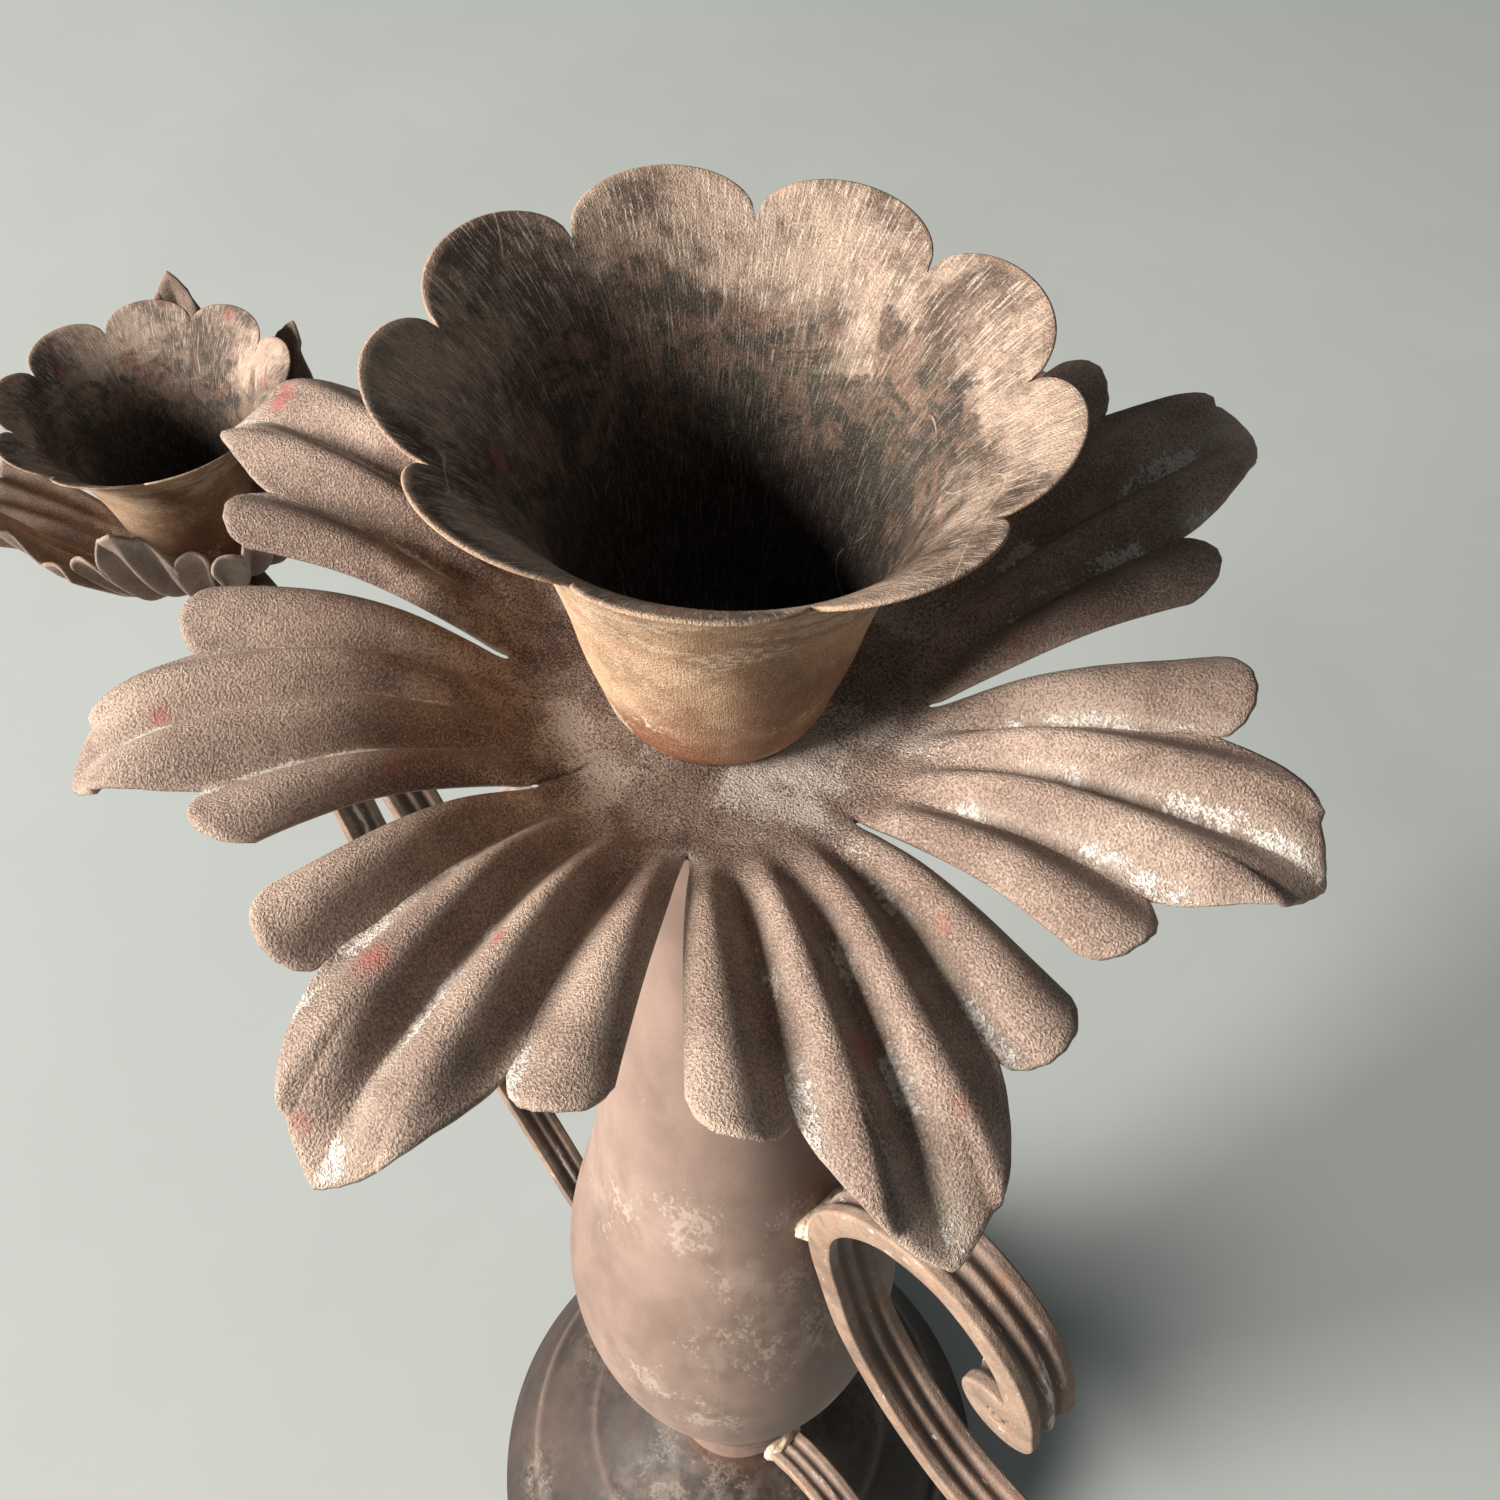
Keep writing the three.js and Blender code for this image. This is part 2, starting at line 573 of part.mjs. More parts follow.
function arm(side, cupTurn) {
  const g = new THREE.Group();
  g.name = side;
  const hole = SCREW_RADIUS + BORE_GAP;
  const scroll = scrollPath();
  const lower = lowerPath();
  g.add(piece(`${side}_scroll_strap`, drilled(strap(scroll), ARM_REACH, hole), finish.strap()));
  g.add(piece(`${side}_lower_strap`, drilled(strap(lower), ARM_REACH, hole), finish.strap()));

  const skin = (rows) => turned([
    ...rows.map(([z, r]) => [r + WELD_GAP, z]), [0.1, rows[rows.length - 1][0]], [0.1, rows[0][0]],
  ]);
  g.add(piece(`${side}_body_weld`, bead([bodyRadius(TURN_Z) + 0.8, 0, TURN_Z + 2], [4.2, 8, 7.5], [
    strap(scroll, WELD_GAP), skin(upperOutline),
  ]), finish.weld()));
  g.add(piece(`${side}_neck_weld`, bead([FERRULE_RADIUS + 1.4, 0, START_Z], [3.6, 9, 7], [
    strap(lower, WELD_GAP),
    skin([...footOutline().map(([r, z]) => [z, r]), [FOOT_HEIGHT + WELD_GAP, FERRULE_RADIUS],
      [FERRULE_TOP, FERRULE_RADIUS]]),
  ]), finish.weld()));

  const top = new THREE.Group();
  top.position.set(ARM_REACH, 0, HUB);
  const pan = piece(`${side}_pan`, sidePan(side), finish.leaf());
  const c = piece(`${side}_cup`, cup(cupTurn), finish.cup());
  const stack = LOWER_END - STRAP_THICK / 2 - HUB - SEAT_GAP;
  const washer = piece(`${side}_washer`, ring(hole, WASHER_RADIUS, stack - 1.2, stack, SMALL_FACETS),
    finish.steel());
  const nutTop = stack - 1.2 - SEAT_GAP;
  const nut = piece(`${side}_nut`, hexNut(hole, 3.2 * SCREW_RADIUS, nutTop - 4, nutTop), finish.steel());
  const shank = nutTop - 5.5;
  const seat = SHEET + SEAT_GAP;
  const screw = piece(`${side}_screw`, turned([
    [0.02, shank], [SCREW_RADIUS, shank], [SCREW_RADIUS, seat], [WASHER_RADIUS, seat],
    [0.96 * WASHER_RADIUS, seat + 1.4], [0.64 * WASHER_RADIUS, seat + 2.3], [0.02, seat + 2.6],
  ], SMALL_FACETS), finish.steel());
  top.add(pan, c, washer, nut, screw);
  g.add(top);
  return g;
}

const right = arm('right', CUP_TURN);
const left = arm('left', CUP_TURN + 19.2);
left.rotation.z = Math.PI;

const group = new THREE.Group();
group.name = 'candelabra';
group.add(column(), head(), right, left);

export default group;
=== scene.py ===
"""Looks of a three-light candelabra in painted sheet metal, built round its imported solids.

Every surface is worked out in millimetres, in the frame of the solids: +Z up, the floor at zero,
the two arms along +X and -X. It is turned into metres as its mesh is made. Lengths in the tables
are in millimetres too, and the sizes in the sidebar are in metres.
"""

import math

import bpy
import numpy as np
from bpy.props import FloatProperty, FloatVectorProperty, IntProperty, PointerProperty
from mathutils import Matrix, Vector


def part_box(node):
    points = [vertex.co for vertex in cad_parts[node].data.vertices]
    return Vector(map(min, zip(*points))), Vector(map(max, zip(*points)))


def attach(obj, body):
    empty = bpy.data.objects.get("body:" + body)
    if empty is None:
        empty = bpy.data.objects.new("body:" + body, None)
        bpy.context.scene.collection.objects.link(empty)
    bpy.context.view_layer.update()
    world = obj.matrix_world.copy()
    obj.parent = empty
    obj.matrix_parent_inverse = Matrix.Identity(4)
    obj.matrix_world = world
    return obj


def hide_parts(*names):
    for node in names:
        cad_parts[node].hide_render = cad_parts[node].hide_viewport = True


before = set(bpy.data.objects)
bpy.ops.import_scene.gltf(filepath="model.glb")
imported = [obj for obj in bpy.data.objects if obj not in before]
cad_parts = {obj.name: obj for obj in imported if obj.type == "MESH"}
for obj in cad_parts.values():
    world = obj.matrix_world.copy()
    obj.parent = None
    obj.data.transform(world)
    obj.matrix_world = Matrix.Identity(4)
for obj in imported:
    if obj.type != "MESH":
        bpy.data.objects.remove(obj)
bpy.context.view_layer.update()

bl_info = {
    "name": "Three-Light Candelabra",
    "version": (1, 0, 0),
    "blender": (4, 5, 0),
    "location": "View3D > Sidebar > Candelabra",
    "description": "Builds the sheet-metal pieces, painted finishes and studio of a three-light candelabra",
    "category": "Add Mesh",
}

MM = 0.001


def srgb(red, green, blue):
    """Linear colour of 0 to 255 display values."""
    value = np.array([red, green, blue]) / 255
    return tuple(np.where(value < 0.04045, value / 12.92, ((value + 0.055) / 1.055) ** 2.4))


# Sizes and colours that a user would change


class PanSizes(bpy.types.PropertyGroup):
    hub_height: FloatProperty(
        name="Hub height", description="Floor to the top of the middle pan's hub", default=0.41792,
        unit="LENGTH")
    leaf_tip: FloatProperty(
        name="Leaf length", description="Middle of the pan to a leaf's tip, along the sheet",
        default=0.0709, unit="LENGTH")
    slot_root: FloatProperty(
        name="Slot root", description="Middle of the pan to the root of the slots between leaves",
        default=0.0228, unit="LENGTH")
    valley_depth: FloatProperty(
        name="Valley depth", description="Depth of the pressed valleys below the ribs",
        default=0.0032, unit="LENGTH")
    sheet: FloatProperty(
        name="Sheet", description="Thickness of the pans and cups", default=0.0008, unit="LENGTH")
    turn: FloatProperty(
        name="Turn", description="First leaf of the middle pan from +X", default=math.radians(18.7),
        subtype="ANGLE")
    lean: FloatProperty(
        name="Lean", description="Tilt of the middle pan and cup", default=math.radians(2.2),
        subtype="ANGLE")
    lean_heading: FloatProperty(
        name="Lean heading", description="Side to which the middle pan and cup lean",
        default=math.radians(47.9), subtype="ANGLE")
    side_scale: FloatProperty(
        name="Side pan scale", description="Size of a side pan against the middle one", default=0.88)
    side_slim: FloatProperty(
        name="Side leaf width", description="Width of a side leaf against a middle one", default=0.86)
    side_turn: FloatProperty(
        name="Side turn", description="First leaf of a side pan from its arm",
        default=math.radians(5.9), subtype="ANGLE")


class CupSizes(bpy.types.PropertyGroup):
    notch_radius: FloatProperty(
        name="Notch radius", description="Circle through the notches of the rim", default=0.027,
        unit="LENGTH")
    height: FloatProperty(
        name="Height", description="Foot to the notches of the rim", default=0.0396, unit="LENGTH")
    turn: FloatProperty(
        name="Turn", description="First notch of the middle and right cups from +X",
        default=math.radians(12.3), subtype="ANGLE")
    left_turn: FloatProperty(
        name="Left turn", description="First notch of the left cup from its arm",
        default=math.radians(31.5), subtype="ANGLE")


class ColumnSizes(bpy.types.PropertyGroup):
    foot_radius: FloatProperty(
        name="Foot radius", description="Outside of the ring on the floor", default=0.081,
        unit="LENGTH")
    foot_height: FloatProperty(
        name="Foot height", description="Floor to the top of the foot", default=0.092, unit="LENGTH")
    ferrule_radius: FloatProperty(
        name="Ferrule radius", description="Ring between the foot and the body", default=0.0182,
        unit="LENGTH")
    ferrule_height: FloatProperty(
        name="Ferrule height", description="Height of that ring", default=0.018, unit="LENGTH")
    shell: FloatProperty(
        name="Shell", description="Wall of the foot and body", default=0.001, unit="LENGTH")


class ArmSizes(bpy.types.PropertyGroup):
    reach: FloatProperty(
        name="Reach", description="Column axis to the axis of a side cup", default=0.182,
        unit="LENGTH")
    hub_height: FloatProperty(
        name="Hub height", description="Floor to the top of a side pan's hub", default=0.3092,
        unit="LENGTH")
    strap_width: FloatProperty(
        name="Strap width", description="Width of the reeded straps", default=0.0108, unit="LENGTH")
    strap_thick: FloatProperty(
        name="Strap thickness", description="Thickness of the reeded straps", default=0.0052,
        unit="LENGTH")
    screw_radius: FloatProperty(
        name="Screw radius", description="Shank of the screw under a side cup", default=0.0025,
        unit="LENGTH")


class FinishLook(bpy.types.PropertyGroup):
    leaf_light: FloatVectorProperty(
        name="Leaf light", description="Lighter tone of the leaf paint", subtype="COLOR",
        default=srgb(181, 158, 142), min=0, max=1)
    leaf_dark: FloatVectorProperty(
        name="Leaf dark", description="Darker tone of the leaf paint", subtype="COLOR",
        default=srgb(134, 112, 99), min=0, max=1)
    column_light: FloatVectorProperty(
        name="Column light", description="Lighter tone of the column paint", subtype="COLOR",
        default=srgb(140, 117, 106), min=0, max=1)
    column_dark: FloatVectorProperty(
        name="Column dark", description="Darker tone of the column paint", subtype="COLOR",
        default=srgb(110, 90, 79), min=0, max=1)
    chalk: FloatVectorProperty(
        name="Chalk", description="White wear along the valleys", subtype="COLOR",
        default=srgb(232, 222, 212), min=0, max=1)
    rust: FloatVectorProperty(
        name="Rust", description="Rust low on the cups and in corners", subtype="COLOR",
        default=srgb(150, 92, 58), min=0, max=1)
    pink: FloatVectorProperty(
        name="Pink spots", description="Small spots of old red paint", subtype="COLOR",
        default=srgb(168, 92, 86), min=0, max=1)
    grain: FloatProperty(
        name="Grain", description="Size of the sandy grain", default=0.00025, unit="LENGTH")


class StudioSettings(bpy.types.PropertyGroup):
    lens: FloatProperty(
        name="Lens", description="Focal length of the camera in millimetres", default=33.24)
    key_power: FloatProperty(
        name="Key light", description="Power of the main light in watts", default=665.0)
    fill_power: FloatProperty(
        name="Fill light", description="Power of the broad soft light in watts", default=1.5)
    floor_colour: FloatVectorProperty(
        name="Floor", description="Colour of the floor", subtype="COLOR",
        default=srgb(164, 169, 167), min=0, max=1)
    segments: IntProperty(
        name="Turned segments", description="Sides of the column and foot", default=192, min=24)


# Curves


def smooth(table, x, column=1):
    """Cubic curve through the rows of a table [x, y, ...], with the slopes of its neighbours."""
    rows = np.asarray(table, float)
    xs, ys = rows[:, 0], rows[:, column]
    slope = np.gradient(ys, xs)
    i = np.clip(np.searchsorted(xs, x) - 1, 0, len(xs) - 2)
    h = xs[i + 1] - xs[i]
    t = np.clip((x - xs[i]) / h, 0, 1)
    return ((2 * t**3 - 3 * t**2 + 1) * ys[i] + (t**3 - 2 * t**2 + t) * h * slope[i]
            + (3 * t**2 - 2 * t**3) * ys[i + 1] + (t**3 - t**2) * h * slope[i + 1])


def ease(low, high, x):
    """0 below low, 1 above high, with a smooth step between."""
    t = np.clip((x - low) / (high - low), 0, 1)
    return t * t * (3 - 2 * t)


def bump(x, middle, width):
    """Rounded peak of height 1 at middle, that has faded out about two widths away."""
    return np.exp(-((x - middle) / width) ** 2)


def ripple(x, y, z, size, seed):
    """Slow uneven swell between about -1 and 1: a sum of four sine waves in different directions."""
    rng = np.random.default_rng(seed)
    total = 0.0
    for _ in range(4):
        kx, ky, kz = rng.normal(size=3) * 2.2 / size
        total = total + np.sin(kx * x + ky * y + kz * z + rng.uniform(0, 6.28))
    return total / 3


def unit(vectors):
    """Vectors made one long."""
    return vectors / np.linalg.norm(vectors, axis=-1, keepdims=True)


def lengths_along(curve):
    """Distance from the first point of a curve to each of its points, along it."""
    return np.concatenate([[0], np.cumsum(np.linalg.norm(np.diff(curve, axis=0), axis=1))])


def drawn(table, count):
    """Evenly spaced points of a smooth curve through a table of pairs, by distance along it."""
    table = np.asarray(table, float)
    length = lengths_along(table)
    rows = np.column_stack([length, table])
    s = np.linspace(0, length[-1], count)
    return np.stack([smooth(rows, s, k + 1) for k in range(table.shape[1])], -1)


def relaxed(curve, reach):
    """Curve of evenly spaced points, averaged with a bell-shaped window. Its two ends stay."""
    window = np.hanning(2 * reach + 3)[1:-1]
    window /= window.sum()
    before = 2 * curve[0] - curve[reach:0:-1]
    after = 2 * curve[-1] - curve[-2:-reach - 2:-1]
    longer = np.vstack([before, curve, after])
    return np.stack([np.convolve(longer[:, k], window, "valid") for k in range(curve.shape[1])], -1)


# Meshes


def placed(name, data):
    """New object in the scene."""
    thing = bpy.data.objects.new(name, data)
    bpy.context.scene.collection.objects.link(thing)
    return thing


def make_piece(name, points, faces, nodes, slot, values=None):
    """Mesh object of points in millimetres that rides on the body and stands for CAD nodes.

    Values are kept on the mesh by name, each a number or a vector for every point."""
    mesh = bpy.data.meshes.new(name)
    faces = faces if isinstance(faces, list) else faces.tolist()
    mesh.from_pydata((np.asarray(points) * MM).reshape(-1, 3), [], faces)
    for key, value in (values or {}).items():
        kind, field = ("FLOAT_VECTOR", "vector") if value.ndim == 2 else ("FLOAT", "value")
        value = np.ascontiguousarray(value, np.float32)
        mesh.attributes.new(key, kind, "POINT").data.foreach_set(field, value.ravel())
    mesh.update()
    mesh.shade_smooth()
    mesh.materials.append(finish(slot))
    piece = placed(name, mesh)
    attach(piece, "root")
    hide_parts(*nodes)


def grid_index(rows, columns, start=0):
    """Numbers of the points of a grid, row by row."""
    return start + np.arange(rows * columns).reshape(rows, columns)


def grid_faces(index, wrap=False):
    """Quads between the neighbours of an array of point numbers, seen from the side where rows
    run to the right and columns up. wrap joins the last column to the first."""
    right = np.roll(index, -1, axis=1) if wrap else index[:, 1:]
    left = index if wrap else index[:, :-1]
    return np.stack([left[:-1], left[1:], right[1:], right[:-1]], -1).reshape(-1, 4)


def tube_faces(rows, columns):
    """Faces of closed rings that are carried round until the last one meets the first."""
    index = grid_index(rows, columns)
    return grid_faces(np.vstack([index, index[:1]]), wrap=True)[:, ::-1]


def capped(rings, order=1):
    """Points and faces of rings joined in a row, with a fan to the middle of each end ring.

    The rings run anticlockwise as seen from the first end. An order of -1 is for the other way."""
    count, around = rings.shape[:2]
    index = grid_index(count, around)
    faces = grid_faces(index, wrap=True)[:, ::order].tolist()
    for end, ring in enumerate(index[[0, -1]]):
        fan = np.stack([ring, np.roll(ring, -1), np.full(around, count * around + end)], -1)
        faces += fan[:, ::-order if end else order].tolist()
    return np.vstack([rings.reshape(-1, 3), rings[[0, -1]].mean(1)]), faces


def lathe(profile, segments, wobble=None):
    """Points and faces of a closed profile of (radius, height) turned about the vertical axis.

    The profile runs anticlockwise with radius to the right. wobble(angle, height) scales the
    radius. A radius of zero is kept at a hair, so that its cap closes on a tiny ring."""
    profile = np.asarray(profile, float)
    angle = np.linspace(0, 2 * np.pi, segments, endpoint=False)[None]
    radius = np.maximum(profile[:, :1], 0.01)
    height = profile[:, 1:] + 0 * angle
    if wobble is not None:
        radius = radius * wobble(angle, height)
    points = np.stack([radius * np.cos(angle), radius * np.sin(angle), height], -1)
    return points.reshape(-1, 3), tube_faces(len(profile), segments)


def shell_profile(outer, thick):
    """Closed profile of a wall: the outer curve upward, then the same curve moved in by thick."""
    outer = np.asarray(outer, float)
    along = unit(np.gradient(outer, axis=0))
    inner = outer - thick * np.stack([along[:, 1], -along[:, 0]], -1)
    return np.vstack([outer, inner[::-1]])


def vertex_normals(points, faces):
    """Unit normals of a mesh of quads: the sum of the cross products of each face's diagonals."""
    a, b, c, d = (points[faces[:, k]] for k in range(4))
    normal = np.cross(c - a, d - b)
    total = np.zeros_like(points)
    for k in range(4):
        np.add.at(total, faces[:, k], normal)
    return unit(total)


def thicken(points, faces, thick, rims):
    """Closed sheet from a middle surface: a copy half the thickness up each way, and a rounded rim
    along each loop of rim points, whose middle stands out by half the thickness. Each rim is
    (point numbers in order, directions out of the sheet). Also gives the middle surface's point
    that each new point came from."""
    count = len(points)
    shift = vertex_normals(points, faces) * thick / 2
    parts = [points + shift, points - shift]
    quads = [faces, faces[:, ::-1] + count]
    origin = [np.arange(count), np.arange(count)]
    for loop, out in rims:
        middle = sum(map(len, parts)) + np.arange(len(loop))
        quads.append(grid_faces(np.stack([loop, middle, loop + count]), wrap=True))
        parts.append(points[loop] + out * thick / 2)
        origin.append(loop)
    return np.vstack(parts), np.vstack(quads), np.concatenate(origin)


def turn_about_z(points, angle):
    """Points turned about the vertical axis."""
    c, s = math.cos(angle), math.sin(angle)
    return points @ np.array([[c, s, 0], [-s, c, 0], [0, 0, 1]])


def on_side(points, side):
    """Points of the right arm, turned half way round for the left one."""
    return turn_about_z(points, math.pi) if side == "left" else points


def lean_over(points, angle, heading):
    """Points tilted about the level line that lies across a heading, so that side sinks."""
    axis = np.array([-math.sin(heading), math.cos(heading), 0.0])
    c, s = math.cos(angle), math.sin(angle)
    return points * c + np.cross(axis, points) * s + np.outer(points @ axis, axis) * (1 - c)


# Leaf pans

LEAVES = 8
HUB_BORE = 4.0
# How much the slots take off a leaf's width, and how far out from their root they are fully open
SLOT_SHARE = 0.07
SLOT_ROUND = 0.8
# Height between the valleys (0) and the ribs (1) at which the unpressed sheet lies
SHEET_LEVEL = 0.55
EDGE_UNEVEN = 0.12
# Width of the wear along the rims of the pans and cups
RIM_WEAR = 0.3
# Share across a leaf at which the notch between its middle lobe and a side lobe lies
LOBE_SPLIT = 0.54
# Middle lobe: distance of the notches, length beyond them, half its width
MIDDLE_LOBE = [51.4, 16.49, 9.4]
# Side lobe from the notch outward: share, distance along the leaf, distance across it
SIDE_LOBE = [[0, 51.4, 9.4], [0.1, 52.7, 9.6], [0.21, 53.5, 10.5], [0.37, 53.9, 12.0],
             [0.53, 53.75, 13.6], [0.67, 53.1, 15.1], [0.79, 52.1, 16.4], [0.9, 50.8, 17.2], [1, 49.3, 17.45]]
# Arch of the middle leaves: distance along the sheet, height
ARCH_LIFT = [[0, 0], [14, 0], [19, 0.2], [22.8, 1.35], [26, 3.15], [30, 5.2], [34, 7.0], [38, 8.4],
             [46, 9.6], [53, 9.6], [60, 8.7], [68, 4.2], [76, -1]]
# Upright and splayed side leaves, in shares of their length: distance along the sheet, distance
# out, height. SPLAY is how far each leaf leans from the first to the second.
UPRIGHT = [[0, 0, 0], [0.19, 0.19, 0], [0.29, 0.282, 0.029], [0.385, 0.353, 0.09], [0.513, 0.423, 0.196],
           [0.673, 0.49, 0.34], [0.834, 0.539, 0.492], [1, 0.592, 0.641], [1.1, 0.62, 0.73]]
SPLAYED = [[0, 0, 0], [0.19, 0.19, 0], [0.29, 0.287, 0.01], [0.385, 0.378, 0.039], [0.513, 0.5, 0.08],
           [0.673, 0.657, 0.122], [0.834, 0.814, 0.147], [1, 0.971, 0.16], [1.1, 1.07, 0.165]]
SPLAY = {"right": [0.35, 0.1, 0.25, 0.6, 0.2, 0, 0.3, 0.05],
         "left": [0.35, 0.65, 0.16, 0.05, 0.15, 0.1, 0, 0]}
# Each leaf's turn in degrees, hinge, rise, twist and stretch
MIDDLE_LEAVES = [[0.4, 3.22, 3.12, 0.3, 0.983], [4.25, 16.5, -2.0, 0.21, 0.92], [0, 6, 0, 0, 1],
                 [0, 6, 0, 0, 1], [0.79, 7.58, -3.27, -0.022, 0.999], [1.34, 9.68, -8.06, 0.19, 1.021],
                 [-0.05, 1.39, -0.34, -0.056, 1.042], [2.37, -5.85, 2.85, -0.123, 1.035]]
SIDE_LEAVES = {"right": [[0, 0, 0, 0, 1.055]] * 8,
               "left": [[0, 0, 0, 0, 1.055]] * 7 + [[2, 0, 5.5, 0, 1.07]]}
# How brown each leaf of the middle pan is near the hub, and how chalky along its valleys
MIDDLE_STAIN = [0.1, 0.5, 0.3, 0.3, 0.9, 0.65, 0.1, 0.1]
MIDDLE_CHALK = [1.5, 1.5, 1.0, 0.8, 1.8, 1.6, 1.4, 1.7]
# Spots of old red paint on the middle pan: leaf, share across, share along, radius
MIDDLE_SPOTS = [[7, -0.13, 0.56, 1.7], [5, -0.1, 0.72, 1.2], [6, -0.32, 0.6, 1.6], [6, 0.2, 0.45, 0.9],
                [4, -0.2, 0.8, 2.0], [7, 0.3, 0.9, 1.2], [5, -0.6, 0.75, 1.3]]
# Crack of the middle pan: the slot it starts from, counted in leaves, its length and half its width
CRACK_SLOT = 5.5
CRACK_LENGTH = 6.5
CRACK_WIDTH = 0.22


def leaf_outline(v):
    """Edge of a leaf as (distance, angle) from the pan's middle, for v from -1 to 1 across it.

    The middle lobe is a rounded spearhead, (1 - y^1.6)^0.75 wide at height y. Each side lobe is a
    smooth curve through its table, which starts at the notch beside the middle lobe."""
    a = np.abs(v)
    y = 1 - np.clip(a / LOBE_SPLIT, 0, 1) ** 1.8
    side = np.clip((a - LOBE_SPLIT) / (1 - LOBE_SPLIT), 0, 1)
    notch, length, width = MIDDLE_LOBE
    along = np.where(a < LOBE_SPLIT, notch + length * y, smooth(SIDE_LOBE, side))
    across = np.where(a < LOBE_SPLIT, width * (1 - y**1.6) ** 0.75, smooth(SIDE_LOBE, side, 2))
    return np.hypot(along, across), np.sign(v) * np.arctan2(across, along)


def leaf_ribs(v):
    """Cross-section of a leaf: 1 along four broad ribs, 0 in the three rounded valleys between."""
    a = np.abs(v)
    x = np.where(a < LOBE_SPLIT, a / LOBE_SPLIT, 0.74 * (a - LOBE_SPLIT) / (1 - LOBE_SPLIT))
    near = 1 - np.abs(2 * x - 1)
    return 0.5 - 0.5 * np.cos(np.pi * near**1.15)


def leaf_columns(count):
    """Shares across a leaf from -1 to 1, with a column on each valley."""
    inner = max(2, round(count * 0.25))
    outer = count // 2 - inner
    half = np.concatenate([np.linspace(0, LOBE_SPLIT, inner + 1), np.linspace(LOBE_SPLIT, 1, outer + 1)[1:]])
    return np.concatenate([-half[:0:-1], half])


def middle_bend():
    """Distance out and height along a middle leaf: the height is a table, and the distance out is
    what keeps the length of the sheet."""
    u = np.linspace(0, 76, 305)
    lift = smooth(ARCH_LIFT, u)
    run = np.sqrt(np.clip(1 - np.gradient(lift, u) ** 2, 0.05, 1))
    reach = np.concatenate([[0], np.cumsum((run[1:] + run[:-1]) / 2 * np.diff(u))])

    def bent(leaf, along, v, t):
        return np.interp(along, u, reach), np.interp(along, u, lift)
    return bent


def side_bend(splay, tip):
    """Distance out and height along a side leaf: upright and splayed leaves mixed by how far each
    leaf leans out. Near the slot roots a leaf shares the lean of its neighbour."""
    lean = np.array(splay)

    def bent(leaf, along, v, t):
        own = lean[leaf]
        beside = lean[(leaf + np.sign(v).astype(int)) % LEAVES]
        mix = own + (beside - own) * np.abs(v) / 2 * (1 - t) ** 2
        share = along / tip
        return tuple(tip * (smooth(UPRIGHT, share, k) * (1 - mix) + smooth(SPLAYED, share, k) * mix)
                     for k in (1, 2))
    return bent


